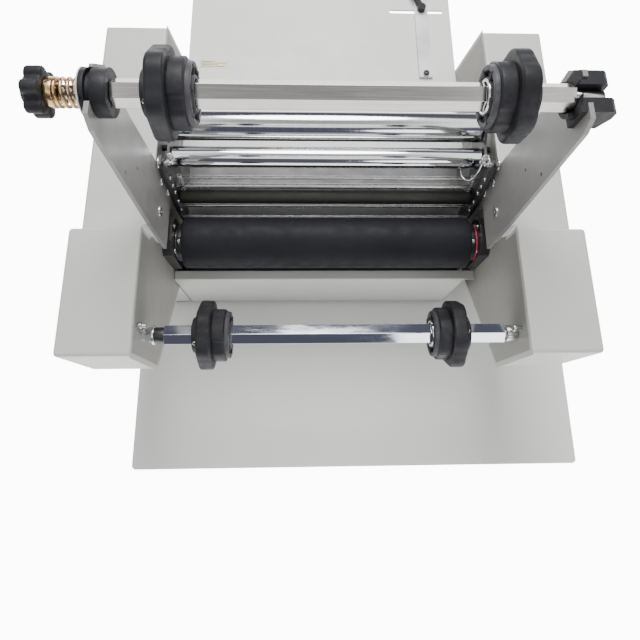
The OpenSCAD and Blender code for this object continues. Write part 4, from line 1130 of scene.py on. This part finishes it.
class LAMINATOR_OT_studio(bpy.types.Operator):
    """Set the floor, the lights and the camera"""

    bl_idname = "laminator.studio"
    bl_label = "Studio"

    def execute(self, context):
        studio = context.scene.laminator_studio
        floor_size, n = 6.0, 2
        g = np.linspace(-floor_size, floor_size, n)
        x, y = np.meshgrid(g, g, indexing="ij")
        floor = mesh_object("studio_floor", [(np.stack([x, y, x * 0 - FLOOR_DROP], -1),
                                              grid_faces(n, n, False, False))])
        if floor.data.polygons[0].normal.z < 0:
            floor.data.flip_normals()
        f = Finish("studio floor")
        f.set("Base Color", f.mix(f.ramp(f.noise(2, 2), 0.3, 0.7), (0.86, 0.86, 0.86),
                                  (0.88, 0.88, 0.88)))
        f.set("Roughness", 0.9)
        f.set("Emission Color", (1.0, 1.0, 1.0, 1.0))
        seen = f.node("ShaderNodeLightPath").outputs["Is Camera Ray"]
        f.set("Emission Strength", f.math("ADD", f.math("MULTIPLY", seen, studio.floor_glow),
                                          FLOOR_LIGHT))
        floor.data.materials.append(f.done())
        world = bpy.data.worlds.new("studio")
        world.use_nodes = True
        context.scene.world = world
        tree = world.node_tree
        coords = tree.nodes.new("ShaderNodeTexCoord")
        split = tree.nodes.new("ShaderNodeSeparateXYZ")
        ramp = tree.nodes.new("ShaderNodeValToRGB")
        tree.links.new(coords.outputs["Generated"], split.inputs[0])
        half = tree.nodes.new("ShaderNodeMapRange")
        half.inputs["From Min"].default_value = -1.0
        tree.links.new(split.outputs["Z"], half.inputs["Value"])
        tree.links.new(half.outputs["Result"], ramp.inputs["Fac"])
        stops = ((0.0, (0.85, 0.85, 0.85)), (0.49, (0.80, 0.80, 0.82)),
                 (0.53, (0.30, 0.30, 0.33)), (0.60, (0.055, 0.057, 0.075)),
                 (0.86, (0.07, 0.072, 0.095)), (0.89, (1.0, 1.0, 1.0)), (0.95, (0.9, 0.9, 0.9)),
                 (0.985, (0.34, 0.34, 0.35)), (1.0, (0.30, 0.30, 0.31)))
        elements = ramp.color_ramp.elements
        while len(elements) < len(stops):
            elements.new(0.5)
        for element, (place, colour) in zip(elements, stops):
            element.position = place
            element.color = (*colour, 1)
        back = tree.nodes["Background"]
        tree.links.new(ramp.outputs["Color"], back.inputs["Color"])
        back.inputs["Strength"].default_value = studio.sky_light
        for name, place, target, size, power in (
                ("softbox top", (0.0, 1.35, 2.2), (0, 0.1, 0.2), 1.5, studio.top_light),
                ("softbox front", (0.85, -2.0, 1.25), (0, 0, 0.25), 0.9, studio.front_light)):
            light = bpy.data.lights.new(name, "AREA")
            light.shape = "DISK"
            light.size = size
            light.energy = power
            lamp = bpy.data.objects.new(name, light)
            lamp.location = place
            way = np.asarray(target) - np.asarray(place)
            lamp.rotation_euler = (math.atan2(math.hypot(way[0], way[1]), -way[2]), 0,
                                   math.atan2(-way[0], way[1]))
            context.scene.collection.objects.link(lamp)
        cam = bpy.data.cameras.new("camera")
        cam.sensor_width = 36
        cam.lens = studio.camera_lens
        cam.shift_x, cam.shift_y = studio.camera_shift
        cam.clip_start = 0.02
        eye = bpy.data.objects.new("camera", cam)
        eye.location = studio.camera_place
        eye.rotation_euler = studio.camera_turn
        context.scene.collection.objects.link(eye)
        context.scene.camera = eye
        return {"FINISHED"}


class LAMINATOR_PT_panel(bpy.types.Panel):
    """Lists the laminator's pieces and settings"""

    bl_label = "Laminator"
    bl_idname = "LAMINATOR_PT_panel"
    bl_space_type = "VIEW_3D"
    bl_region_type = "UI"
    bl_category = "Laminator"

    def draw(self, context):
        for operator in OPERATORS:
            self.layout.operator(operator.bl_idname)
        for settings in ("laminator_paint", "laminator_detail", "laminator_studio"):
            group = getattr(context.scene, settings)
            box = self.layout.box()
            for name in group.bl_rna.properties.keys():
                if name not in ("rna_type", "name"):
                    box.prop(group, name)


OPERATORS = (LAMINATOR_OT_finishes, LAMINATOR_OT_sheet_metal, LAMINATOR_OT_chucks,
             LAMINATOR_OT_tension, LAMINATOR_OT_rollers, LAMINATOR_OT_screws, LAMINATOR_OT_links,
             LAMINATOR_OT_takeup, LAMINATOR_OT_controls, LAMINATOR_OT_table,
             LAMINATOR_OT_studio)
SETTINGS = {"laminator_paint": PaintSettings, "laminator_detail": DetailSettings,
            "laminator_studio": StudioSettings}


def register():
    """Registers the settings, operators and panel."""
    for cls in (*SETTINGS.values(), *OPERATORS, LAMINATOR_PT_panel):
        bpy.utils.register_class(cls)
    for name, cls in SETTINGS.items():
        setattr(bpy.types.Scene, name, PointerProperty(type=cls))


def unregister():
    """Takes the settings, operators and panel away again."""
    for name in SETTINGS:
        delattr(bpy.types.Scene, name)
    for cls in (LAMINATOR_PT_panel, *reversed(OPERATORS), *SETTINGS.values()):
        bpy.utils.unregister_class(cls)


def main():
    """Registers the add-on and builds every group."""
    register()
    for operator in OPERATORS:
        group, name = operator.bl_idname.split(".")
        getattr(getattr(bpy.ops, group), name)()


if __name__ == "__main__":
    main()
